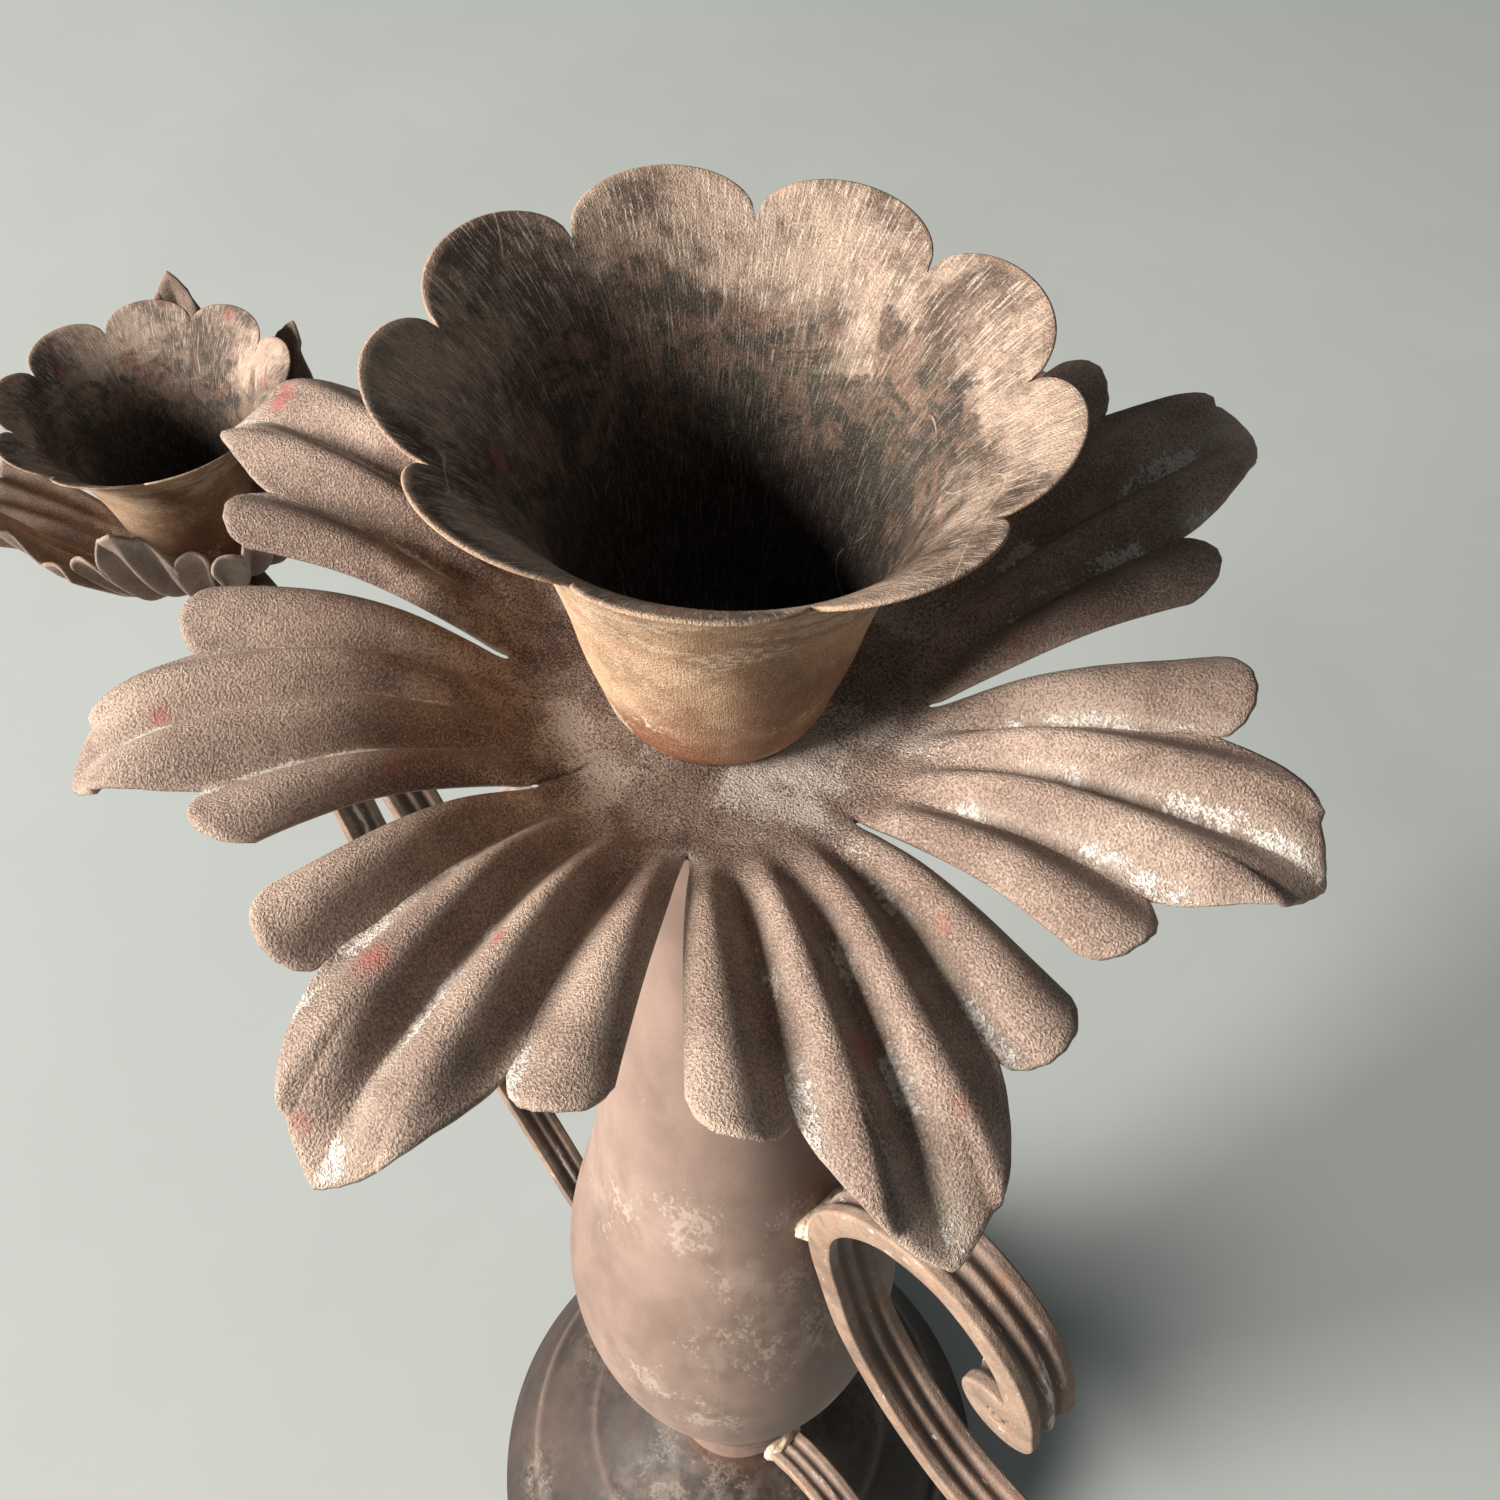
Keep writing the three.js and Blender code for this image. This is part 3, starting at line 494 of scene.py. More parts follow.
def leaf_pan(bent, leaves, sizes, scale=1.0, slim=1.0, columns=96, rows=44, rings=9, seed=1):
    """Middle surface of a pan of pressed leaves, as points, faces, rim loops and named values.

    A point of a leaf lies at distance s and angle a on the flat blank. s runs from the slot roots
    to the outline, and a from an even fan at the roots to the outline's angles, as a quadratic
    curve. The blank is bent along each leaf's spine, pressed into ribs and valleys square to the
    bent sheet, and each leaf gets its own turn, rise, twist and stretch."""
    root = sizes.slot_root / MM * scale
    span = (sizes.leaf_tip / MM - sizes.slot_root / MM) * scale
    half = np.pi / LEAVES
    v = leaf_columns(columns)[None, None, :]
    columns = v.size - 1
    row_t = np.concatenate([np.zeros(rings), np.linspace(0, 1, rows + 1) ** 1.15])[None, :, None]
    leaf = np.arange(LEAVES)[:, None, None]
    swing, hinge, rise, twist, stretch = (np.array(leaves, float)[:, k][:, None, None] for k in range(5))

    # Flat blank, in polar coordinates and then along (u) and across (w) each leaf
    edge, corner = leaf_outline(v)
    edge = root + (edge * scale - root) * stretch
    edge = edge + EDGE_UNEVEN * np.sin(31 * v + 5 * leaf) * np.sin(57 * v + 3 * leaf)
    s = root + (edge - root) * row_t
    s[:, :rings] = np.linspace(HUB_BORE, root, rings + 1)[None, :-1, None]
    slot = 1 - SLOT_SHARE * np.sqrt(np.clip((s - root) / SLOT_ROUND, 0, 1))
    a = (1 - row_t) ** 2 * v * half * slot + (1.97 * row_t * (1 - row_t) + row_t**2) * corner * slim
    u, w = s * np.cos(a), s * np.sin(a)
    share = np.clip((u - root) / span, 0, 2)

    # Bent, pressed and set in its own place
    wide = v + 0 * u
    along = row_t + 0 * u
    reach, height = bent(leaf, u, wide, along)
    low = bent(leaf, u - 0.5, wide, along)
    high = bent(leaf, u + 0.5, wide, along)
    slope = np.arctan2(high[1] - low[1], high[0] - low[0])
    start = ease(-0.04, 0.42, row_t)
    middle_fade = 1 - 0.85 * ease(0.72, 0.99, row_t)
    side_fade = 1 - 0.25 * ease(0.8, 1, row_t)
    depth = start * np.where(np.abs(v) < LOBE_SPLIT / 2, middle_fade, side_fade)
    ribs = leaf_ribs(v)
    press = sizes.valley_depth / MM * scale * depth * (ribs - SHEET_LEVEL)
    press = press + 0.25 * start * ripple(u, w, 20.0 * leaf, 14, seed)
    reach = reach - press * np.sin(slope)
    height = height + press * np.cos(slope) + (hinge + rise * share + twist * w) * share
    heading = 2 * half * leaf + np.radians(swing) * row_t
    x = reach * np.cos(heading) - w * np.sin(heading)
    y = reach * np.sin(heading) + w * np.cos(heading)
    grid = np.stack([x, y, height], -1)

    # The rows up to the slot roots are rings of points right round the pan, shared by the leaves
    around = LEAVES * columns
    hub = grid_index(rings + 1, around)
    free = grid_index(LEAVES * rows, columns + 1, hub.size).reshape(LEAVES, rows, columns + 1)
    root_row = hub[-1][(np.arange(LEAVES)[:, None] * columns + np.arange(columns + 1)) % around]
    index = np.concatenate([root_row[:, None], free], 1)
    faces = np.vstack([grid_faces(hub, wrap=True), *[grid_faces(i) for i in index]])

    def spread(value):
        """Value of each point: first the rings, then the free rows of each leaf."""
        value = np.broadcast_to(value, (*grid.shape[:3], *np.shape(value)[3:]))
        inner = value[:, :rings + 1, :-1].swapaxes(0, 1)
        tail = value.shape[3:]
        return np.concatenate([inner.reshape(-1, *tail), value[:, rings + 1:].reshape(-1, *tail)])

    # Rim of the leaves: up one side, across the tip, down the other side
    points = spread(grid)
    loop = np.concatenate([index[:, :, 0], index[:, -1, 1:-1], index[:, :0:-1, -1]], 1)
    inward = np.concatenate([index[:, :, 1], index[:, -2, 1:-1], index[:, :0:-1, -2]], 1)
    out = points[loop] - points[inward]
    out[:, 0] = points[loop[:, 0]] * [1, 1, 0]
    bore = hub[0][::-1]
    rims = [(loop.reshape(-1), unit(out.reshape(-1, 3))), (bore, unit(-points[bore] * [1, 1, 0]))]
    from_side = (1 - np.abs(v)) * s * half * 0.8
    values = {
        "along": np.where(row_t > 0, share, (s - root) / root),
        # valley: how deep a point lies in a pressed valley, where the leaf paint paints shade
        "valley": depth * (1 - ribs) ** 2,
        "rim": np.exp(-np.minimum(from_side, edge - s) / RIM_WEAR) * ease(0, 0.03, row_t),
        "across": v,
        "leaf": leaf,
    }
    return points, faces, rims, {key: spread(value) for key, value in values.items()}


def leaf_masks(values, chalk_by_leaf, stain_by_leaf, spots, span):
    """Where the paint of a pan is worn or stained, and where shade is painted into its valleys, each from 0
    to 1.

    Chalk lies on the counter-clockwise flank of each valley, a little off its bottom. Spots are
    round patches at given places."""
    v, t, leaf = values["across"], values["along"], values["leaf"].astype(int)
    near_side = np.abs(np.abs(v) - LOBE_SPLIT) < 0.2
    flank = bump(np.where(near_side, v - np.sign(v) * LOBE_SPLIT, v), 0.06, 0.08)
    window = ease(0.05, 0.3, t) * (1 - ease(0.93, 1.05, t))
    spot = np.zeros_like(v)
    for number, across, along, radius in spots:
        distance = np.hypot((v - across) * 17, (t - along) * span)
        spot = np.maximum(spot, (leaf == number) * (1 - ease(0.5 * radius, radius, distance)))
    return {
        "chalk": np.minimum(flank * window * np.array(chalk_by_leaf)[leaf], 1),
        "rim": values["rim"],
        "valley": values["valley"],
        "spot": spot,
        "stain": np.array(stain_by_leaf)[leaf] * (1 - ease(0.05, 0.75, t)),
        "along": t,
    }


def crack_mask(points, root):
    """Thin dark crack that runs in from one slot root: a band along a slightly bent line."""
    angle = np.arctan2(points[:, 1], points[:, 0])
    radius = np.hypot(points[:, 0], points[:, 1])
    line = 2 * np.pi * CRACK_SLOT / LEAVES - 2 * np.pi + 0.05 * (root - radius) / 6
    side = (angle - line) * radius + 0.12 * np.sin(radius * 3.1)
    inner = ease(root - CRACK_LENGTH, root - CRACK_LENGTH + 1.5, radius)
    return bump(side, 0, CRACK_WIDTH) * inner * (1 - ease(root, root + 0.4, radius))


def pan_sheet(middle, masks, sheet):
    """Closed sheet of a pan whose hub has its top at zero, with its masks."""
    points, faces, origin = thicken(*middle[:2], sheet, middle[2])
    return points - [0, 0, sheet / 2], faces, {key: mask[origin] for key, mask in masks.items()}


class CANDELABRA_OT_middle_pan(bpy.types.Operator):
    """Builds the middle pan of eight pressed leaves and tilts it with the head"""
    bl_idname = "candelabra.middle_pan"
    bl_label = "Middle Pan"

    def execute(self, context):
        pan = context.scene.candelabra_pans
        middle = leaf_pan(middle_bend(), MIDDLE_LEAVES, pan)
        masks = leaf_masks(middle[3], MIDDLE_CHALK, MIDDLE_STAIN, MIDDLE_SPOTS, 48)
        masks["crack"] = crack_mask(middle[0], pan.slot_root / MM)
        points, faces, masks = pan_sheet(middle, masks, pan.sheet / MM)
        points = lean_over(turn_about_z(points, pan.turn), pan.lean, pan.lean_heading)
        points = points + [0, 0, pan.hub_height / MM]
        make_piece("middle_pan", points, faces, ["pan_center"], "leaf_paint", masks)
        return {"FINISHED"}


class CANDELABRA_OT_side_pans(bpy.types.Operator):
    """Builds the two side pans, whose leaves stand up round their cups"""
    bl_idname = "candelabra.side_pans"
    bl_label = "Side Pans"

    def execute(self, context):
        pan = context.scene.candelabra_pans
        arms = context.scene.candelabra_arms
        tip = pan.leaf_tip / MM * pan.side_scale
        for seed, (side, splay) in enumerate(SPLAY.items()):
            middle = leaf_pan(side_bend(splay, tip), SIDE_LEAVES[side], pan, pan.side_scale, pan.side_slim,
                              columns=56, rows=34, rings=8, seed=5 + seed)
            masks = leaf_masks(middle[3], [0.4] * LEAVES, [0.5] * LEAVES, [], 42)
            masks["crack"] = 0 * masks["rim"]
            points, faces, masks = pan_sheet(middle, masks, pan.sheet / MM)
            points = turn_about_z(points, pan.side_turn) + [arms.reach / MM, 0, arms.hub_height / MM]
            make_piece(f"{side}_leaf_pan", on_side(points, side), faces, [f"{side}_pan"], "leaf_paint", masks)
        return {"FINISHED"}


# Cups

PETALS = 9
# Wall as (height, radius) over the notch circle's, from the foot to the tips of the petals
CUP_WALL = [[0, 0.42], [0.04, 0.455], [0.135, 0.495], [0.27, 0.548], [0.41, 0.588], [0.545, 0.635],
            [0.68, 0.7], [0.82, 0.8], [0.94, 0.925], [1, 1.0], [1.085, 1.155]]
CUP_BORE = 4.0
# Gap between a pan's hub and the cup that stands on it
CUP_GAP = 0.1
# Swell of the wall and of the rim. The wall is drawn in by as much, so that it stays in the solid.
CUP_UNEVEN = 0.2


def cup_sheet(sizes, seed, columns=40, rows=54):
    """Outer surface of a cup as a grid, with its height share and its distance from the rim.

    The wall is a curve through a table of radius by height. Along it every column runs from the
    foot to its own place on the rim: the notch circle at a notch, further out in mid petal, as
    the square root that makes half an ellipse of each petal."""
    table = np.array(CUP_WALL)[:, ::-1] * [sizes.notch_radius / MM, sizes.height / MM]
    length = lengths_along(table)
    by_length = np.column_stack([length, table])
    notch, tip = length[-2:]
    column = np.arange(PETALS * columns)
    petal = (column % columns) / columns
    bow = np.sqrt(np.clip(1 - (2 * petal - 1) ** 2, 0, 1)) ** 1.02
    around = 2 * np.pi * column / (PETALS * columns)
    rim = notch - 2 * CUP_UNEVEN + (tip - notch) * bow[None]
    along = np.linspace(0, 1, rows + 1)[:, None] * rim
    share = along / notch
    height = smooth(by_length, along, 2)
    ring = 27 * np.cos(around), 27 * np.sin(around)
    radius = smooth(by_length, along, 1) - CUP_UNEVEN
    radius = radius + CUP_UNEVEN * ease(0.3, 1, share) * ripple(*ring, height, 30, seed)
    height = height + CUP_UNEVEN * ease(0.5, 1, share) * ripple(*ring, 0, 34, seed + 7)
    points = np.stack([radius * np.cos(around), radius * np.sin(around), height], -1)
    return points, share, rim - along


def cup_solid(sizes, sheet, seed):
    """Closed wall of a cup: the grid, its copy moved in square to the wall, a rounded rim, and a
    flat floor with a bore for the screw."""
    grid, share, from_rim = cup_sheet(sizes, seed)
    rows, cols = grid.shape[:2]
    faces = grid_faces(grid_index(rows, cols), wrap=True)
    normal = -vertex_normals(grid.reshape(-1, 3), faces).reshape(grid.shape)
    thick = sheet * (1 - 0.5 * ease(0.85, 1.02, share))[..., None]
    inner = grid - normal * thick
    inner[:4] = np.maximum(inner[:4], [-1e9, -1e9, sheet])
    rim = grid[-1] - normal[-1] * thick[-1] / 2 + unit(grid[-1] - grid[-2]) * thick[-1] / 2
    angle = np.arctan2(grid[0, :, 1], grid[0, :, 0])
    disc = np.stack([np.cos(angle), np.sin(angle), 0 * angle], -1)
    bottom = [disc * CUP_BORE, disc * 2 * CUP_BORE, grid[0] * [1, 1, 0] - disc * 0.5]
    floor = [inner[0] - disc * 0.6, disc * 2 * CUP_BORE + [0, 0, sheet], disc * CUP_BORE + [0, 0, sheet]]
    loop = np.concatenate([bottom, grid, rim[None], inner[::-1], floor])

    flat = np.zeros((3, cols))
    values = {
        "inside": np.concatenate([flat, 0 * share, flat[:1] + 0.5, 0 * share + 1, flat + 1]),
        "up": np.concatenate([flat, share, share[-1:], share[::-1], flat]),
        "rim": np.exp(-np.concatenate([flat + 40, from_rim, flat[:1], from_rim[::-1], flat + 40]) / RIM_WEAR),
    }
    around = np.arctan2(loop[..., 1], loop[..., 0])
    wall = np.stack([np.cos(around), np.sin(around), values["up"]], -1)
    values = {key: value.reshape(-1) for key, value in values.items()}
    return loop.reshape(-1, 3), tube_faces(*loop.shape[:2]), {**values, "wall": wall.reshape(-1, 3)}


class CANDELABRA_OT_cups(bpy.types.Operator):
    """Builds the three scalloped candle cups"""
    bl_idname = "candelabra.cups"
    bl_label = "Cups"

    def execute(self, context):
        cup = context.scene.candelabra_cups
        pan = context.scene.candelabra_pans
        arms = context.scene.candelabra_arms
        for seed, side in enumerate(("center", "right", "left")):
            points, faces, values = cup_solid(cup, pan.sheet / MM, 11 + seed)
            points = turn_about_z(points, cup.left_turn if side == "left" else cup.turn)
            if side == "center":
                points = lean_over(points + [0, 0, CUP_GAP], pan.lean, pan.lean_heading)
                points = points + [0, 0, pan.hub_height / MM]
            else:
                points = on_side(points + [arms.reach / MM, 0, arms.hub_height / MM + CUP_GAP], side)
            name = "middle_cup" if side == "center" else f"{side}_candle_cup"
            node = "cup_center" if side == "center" else f"{side}_cup"
            make_piece(name, points, faces, [node], "cup_paint", values)
        return {"FINISHED"}


# Foot and column

# Outline of the foot as shares of (radius beyond the neck, height)
FOOT_OUTLINE = [[1.0, 0.0], [0.995, 0.035], [0.985, 0.07], [0.96, 0.12], [0.92, 0.21], [0.87, 0.295],
                [0.82, 0.38], [0.785, 0.43], [0.77, 0.455], [0.762, 0.475], [0.748, 0.495], [0.73, 0.505],
                [0.712, 0.512], [0.69, 0.535], [0.64, 0.59], [0.58, 0.64], [0.5, 0.7], [0.455, 0.728],
                [0.435, 0.74], [0.42, 0.757], [0.405, 0.775], [0.375, 0.8], [0.3, 0.842], [0.2, 0.882],
                [0.12, 0.91], [0.07, 0.935], [0.03, 0.965], [0.0, 1.0]]
# How far the foot's neck lies inside the ferrule, and its edge inside the solid's
NECK_INSET = 1.2
FOOT_INSET = 0.15
# Flange turned in under the foot, as (change of radius from the edge, height)
FLANGE = [[-6, 0.8], [-6, 0.15], [-5.6, 0], [-0.3, 0]]
FLANGE_TOP = [-1.6, 1.0]
# Places of its two ridges, as shares of the way from the neck to the edge
FOOT_RIDGES = (0.755, 0.43)
# Outline of the body as (height, radius), from the ferrule to the cap
BODY_OUTLINE = [[110, 18.3], [121, 20.0], [135, 22.4], [151, 25.2], [165, 28.0], [178, 30.7], [191, 32.9],
                [205, 34.6], [217, 35.3], [229, 35.4], [242, 34.4], [256, 32.0], [270, 29.0], [283, 26.3],
                [297, 24.0], [310, 21.9], [337, 18.2], [364, 15.1], [391, 12.7], [405, 11.8], [414.6, 11.4]]
# Ferrule with its bead, up to its plain wall, as (change of radius, height above the foot)
FERRULE_BEAD = [[-1.6, 0], [-0.4, 0], [0, 0.4], [0, 3.4], [0.5, 4.2], [0.5, 5.4], [0, 6.2]]
# Cap as (radius, height above the body)
CAP_OUTLINE = [[3.3, 0], [11.6, 0], [11.95, 0.3], [11.9, 0.8], [10.4, 1.5], [8.4, 1.9], [6, 2.2], [3.3, 2.35]]
# Chalky places as (heading in degrees, height, radius)
BODY_CHALK = [[-108, 287, 7], [-88, 298, 8], [-60, 303, 9], [-36, 287, 9], [-22, 277, 11], [-17, 259, 12],
              [-45, 262, 8], [-74, 234, 10], [-53, 226, 11], [-12, 302, 7], [-80, 165, 12], [-30, 160, 12],
              [150, 250, 18], [120, 190, 16], [60, 230, 18], [-5, 200, 10], [20, 160, 14], [170, 160, 15],
              [90, 300, 14], [-150, 300, 12]]
FOOT_CHALK = [[-50, 78, 16], [-85, 74, 14], [-20, 70, 12], [-120, 40, 9], [60, 60, 18], [150, 50, 16],
              [200, 75, 14], [100, 20, 12], [-60, 15, 12], [10, 35, 13]]


def patches(points, places):
    """Soft patches on a turned piece, a little taller than wide, each (heading, height, radius)."""
    heading = np.degrees(np.arctan2(points[:, 1], points[:, 0]))
    radius = np.hypot(points[:, 0], points[:, 1])
    total = np.zeros(len(points))
    for towards, height, size in places:
        off = np.radians((heading - towards + 180) % 360 - 180) * radius
        total = np.maximum(total, np.exp(-(off**2 + (0.7 * (points[:, 2] - height)) ** 2) / size**2))
    return total


def dents(seed, amount):
    """Slow unevenness of a turned wall, as a factor of its radius."""
    def wobble(angle, height):
        return 1 + amount * ripple(30 * np.cos(angle), 30 * np.sin(angle), height, 34, seed)
    return wobble


class CANDELABRA_OT_foot(bpy.types.Operator):
    """Builds the domed foot with its two ridges"""
    bl_idname = "candelabra.foot"
    bl_label = "Foot"

    def execute(self, context):
        column = context.scene.candelabra_column
        wall = column.shell / MM
        edge = column.foot_radius / MM
        neck = column.ferrule_radius / MM - NECK_INSET
        outline = np.array(FOOT_OUTLINE) * [edge - FOOT_INSET - neck, column.foot_height / MM] + [neck, 0]
        outer = drawn(outline, 150)
        inner = shell_profile(outer, wall)[len(outer):]
        inner = inner[inner[:, 1] > wall + 0.4]
        profile = np.vstack([np.array(FLANGE) + [outer[0, 0], 0], outer[1:], inner, [outer[0] + FLANGE_TOP]])
        points, faces = lathe(profile, context.scene.candelabra_studio.segments, dents(3, 0.0012))
        points[:, 2] = np.maximum(points[:, 2], 0)
        radius = np.hypot(points[:, 0], points[:, 1])
        bead, step = (neck + share * (edge - neck) for share in FOOT_RIDGES)
        values = {
            "ridge": np.maximum(bump(radius, bead, 1.2), 0.7 * bump(radius, step, 1.0)),
            "corner": bump(radius, neck, 4.0),
            "chalk": np.maximum(patches(points, FOOT_CHALK), 0.6 * bump(radius, neck + 7, 5)),
        }
        make_piece("domed_foot", points, faces, ["foot_dome"], "foot_paint", values)
        return {"FINISHED"}


class CANDELABRA_OT_column(bpy.types.Operator):
    """Builds the pear-shaped body, its ferrule and its cap"""
    bl_idname = "candelabra.column"
    bl_label = "Column"

    def execute(self, context):
        column = context.scene.candelabra_column
        segments = context.scene.candelabra_studio.segments

        outer = relaxed(drawn(np.array(BODY_OUTLINE)[:, ::-1], 260), 16)
        points, faces = lathe(shell_profile(outer, column.shell / MM), segments, dents(8, 0.0014))
        height = points[:, 2]
        values = {"ridge": 0 * height, "corner": bump(height, BODY_OUTLINE[0][0], 3.0),
                  "chalk": patches(points, BODY_CHALK)}
        make_piece("pear_body", points, faces, ["body_lower", "body_upper"], "column_paint", values)

        low = column.foot_height / MM
        high = column.ferrule_height / MM
        rows = [*FERRULE_BEAD, [0, high - 0.5], [-0.3, high - 0.05], [-1.6, high - 0.05]]
        rows = np.array(rows) + [column.ferrule_radius / MM, low]
        points, faces = lathe(rows, segments, dents(5, 0.002))
        height = points[:, 2]
        values = {"ridge": bump(height, low + 4.8, 0.8), "corner": bump(height, low, 2),
                  "chalk": 0 * height + 0.3}
        make_piece("ferrule", points, faces, ["neck_ferrule"], "column_paint", values)

        points, faces = lathe(np.array(CAP_OUTLINE) + [0, BODY_OUTLINE[-1][0]], 96)
        flat = 0 * points[:, 2]
        values = {"ridge": flat, "corner": flat + 1, "chalk": flat}
        make_piece("body_cap_disc", points, faces, ["body_cap"], "column_paint", values)
        return {"FINISHED"}


# Arms, in the arm's own plane of (distance from the column's axis, height)

# Where the scroll strap turns on the body, and where the lower strap starts on the ferrule
TURN = [27.6, 300.0]
START = [18.9, 95.4]
ROLL_MIDDLE = [TURN[0] + 37.4, TURN[1] + 11]
ROLL_RADIUS = 4.5
# How far both straps run on beyond the axis of the side cup
STRAP_END = 8
STRAP_GAP = 0.1
STRAP_SWAY = 0.35
# Stretches of the straps, as shares of the way from one corner of a box to the other
SCROLL_OVER = [[1, 0.6], [0.843, 0.87], [0.576, 1], [0.298, 0.879], [0.093, 0.583], [0, 0.254]]
SCROLL_DOWN = [[0.005, 0], [0.108, 0.272], [0.215, 0.487], [0.39, 0.683], [0.674, 0.888], [1, 1]]
SCROLL_RISE = [[0.104, 0.009], [0.2, 0.194], [0.272, 0.494], [0.357, 0.712], [0.526, 0.866], [0.732, 0.957],
               [0.893, 1], [1, 1]]
LOWER_RUN = [[0, 0], [0.016, 0.0015], [0.052, 0.0234], [0.11, 0.0356], [0.177, 0.02], [0.243, 0.02],
             [0.317, 0.0595], [0.408, 0.149], [0.565, 0.323], [0.714, 0.52], [0.81, 0.707], [0.853, 0.839],
             [0.883, 0.932], [0.908, 0.978], [0.929, 0.995], [0.947, 1], [0.976, 1], [1, 1]]
# Rings that close the end of a strap, as shares of its section
CAP_SHARES = [0.2, 0.6, 0.97]
# Rough lump in the eye of the roll, as (radius, distance across the strap)
CORE = [[0.6, -4.9], [1.5, -5.1], [1.8, -4.6], [1.8, 4.6], [1.5, 5.1], [0.6, 4.9], [0.5, 3.5], [0.5, -3.5]]
CORE_VALUES = {"reed": 0.8, "run": 0.01, "chalk": 0.4, "side": 1.0}
# Welds by the node they stand for: middle, half sizes, seed
WELDS = {"body_weld": ([TURN[0] - 3.8, 0, TURN[1] + 0.2], [3.0, 6.0, 3.2], 31),
         "neck_weld": ([START[0] + 0.2, 0, START[1]], [3.0, 6.4, 4.6], 37)}


def between(start, end, shares):
    """Points given as shares of the way from one corner of a box to the other."""
    return np.array(start) + np.array(shares) * (np.array(end) - np.array(start))


def strap_ends(arms, sheet):
    """Heights of the middle of both straps where they lie under a side pan."""
    thick = arms.strap_thick / MM
    upper = arms.hub_height / MM - sheet - STRAP_GAP - thick / 2
    return upper, upper - thick - STRAP_GAP


def scroll_path(reach, end):
    """Middle line of the scroll strap, from its rolled end round the arch to beyond the side cup."""
    trough = [TURN[0] + 39, TURN[1] - 52.6]
    step = np.arange(9, -0.1, -0.5)
    turn = np.radians(25 - 36 * step)
    roll = np.column_stack([np.cos(turn), np.sin(turn)]) * (ROLL_RADIUS * (1 - 0.015 * step))[:, None]
    return np.vstack([
        roll + ROLL_MIDDLE, between(TURN, [TURN[0] + 39.6, TURN[1] + 33.8], SCROLL_OVER),
        between(TURN, trough, SCROLL_DOWN), between(trough, [reach, end], SCROLL_RISE),
        [[reach + STRAP_END, end]]])


def lower_path(reach, end):
    """Middle line of the lower strap, from the ferrule to beyond the side cup."""
    return np.vstack([between(START, [reach, end], LOWER_RUN), [[reach + STRAP_END, end]]])


def reeded_section(count=16):
    """Closed cross-section of a strap with three rounded reeds on each face, as shares of half its
    width and thickness, and how high its face stands at each point.

    Across the strap the face is the square of a cosine of one and a half waves: a low reed in the
    middle between two wide hollows, and a level rib along each edge. Its two edges are half circles."""
    x = np.linspace(-1, 1, 3 * count + 1)
    a = np.abs(x)
    wave = np.where(a < 0.62, np.cos(1.5 * np.pi * a / 0.93) ** 2, 1)
    reeds = 0.68 + 0.32 * wave * np.where(a < 0.31, 0.8, 1)
    up = reeds * np.sqrt(np.clip(1 - np.clip((a - 0.86) / 0.14, 0, 1) ** 2, 0, 1))
    top = np.column_stack([x, up])
    section = np.vstack([top, top[-2:0:-1] * [1, -1]])
    return section, np.abs(section[:, 1])


def strap_piece(path, arms, steps, seed):
    """Reeded section carried along a smooth path in the arm's plane, with ends closed by fans.

    Each ring of points is the section turned square to the path. The strap wanders sideways by
    a fraction of a millimetre, as bent iron does. Its values for the paint are how high the reed
    stands, the place along and round the strap, where chalk lies, and how near the edge it is."""
    line = drawn(path, steps)
    along = unit(np.gradient(line, axis=0))
    shares, reed = reeded_section()
    section = shares * [arms.strap_width / 2 / MM, arms.strap_thick / 2 / MM]
    count = len(section)
    sway = STRAP_SWAY * ripple(line[:, 0], 0, line[:, 1], 60, seed) * ease(0, 6, np.arange(steps))
    x = line[:, :1] - along[:, 1:] * section[:, 1]
    y = section[:, 0] + sway[:, None]
    z = line[:, 1:] + along[:, :1] * section[:, 1]
    rings = np.stack([x, y, z], -1)
    shrink = np.array(CAP_SHARES)[:, None, None]
    first, last = rings[[0, -1]].mean(1)
    start = first + (rings[0] - first) * shrink
    end = last + (rings[-1] - last) * shrink[::-1]
    points, faces = capped(np.concatenate([start, rings, end]), -1)
    body = slice(len(shrink) * count, (len(shrink) + steps) * count)

    def on_body(value, fill):
        """Value of the section for every ring, with a fill for the ends."""
        out = np.full(len(points), fill)
        out[body] = np.tile(value, steps)
        return out

    run = points * 0.3
    run[body] = np.column_stack([np.repeat(lengths_along(line), count) * 0.3, np.tile(section, (steps, 1))])
    across = np.abs(shares[:, 0])
    return points, faces, {
        "reed": on_body(reed, 0.8),
        "run": run * MM,
        "chalk": on_body(np.maximum(bump(across, 0, 0.2), 0.2), 0.6),
        "side": on_body(ease(0.7, 0.95, across), 1.0),
    }


def with_core(points, faces, values):
    """The scroll strap with the rough lump that fills the eye of its roll."""
    core, quads = lathe(CORE, 40)
    core = np.stack([core[:, 0] * 0.8, core[:, 2], -core[:, 1] * 1.1], -1)
    core = core + [ROLL_MIDDLE[0], 0, ROLL_MIDDLE[1]]
    values = {key: np.concatenate([value, np.full((len(core), *value.shape[1:]), CORE_VALUES[key])])
              for key, value in values.items()}
    return np.vstack([points, core]), faces + (quads + len(points)).tolist(), values


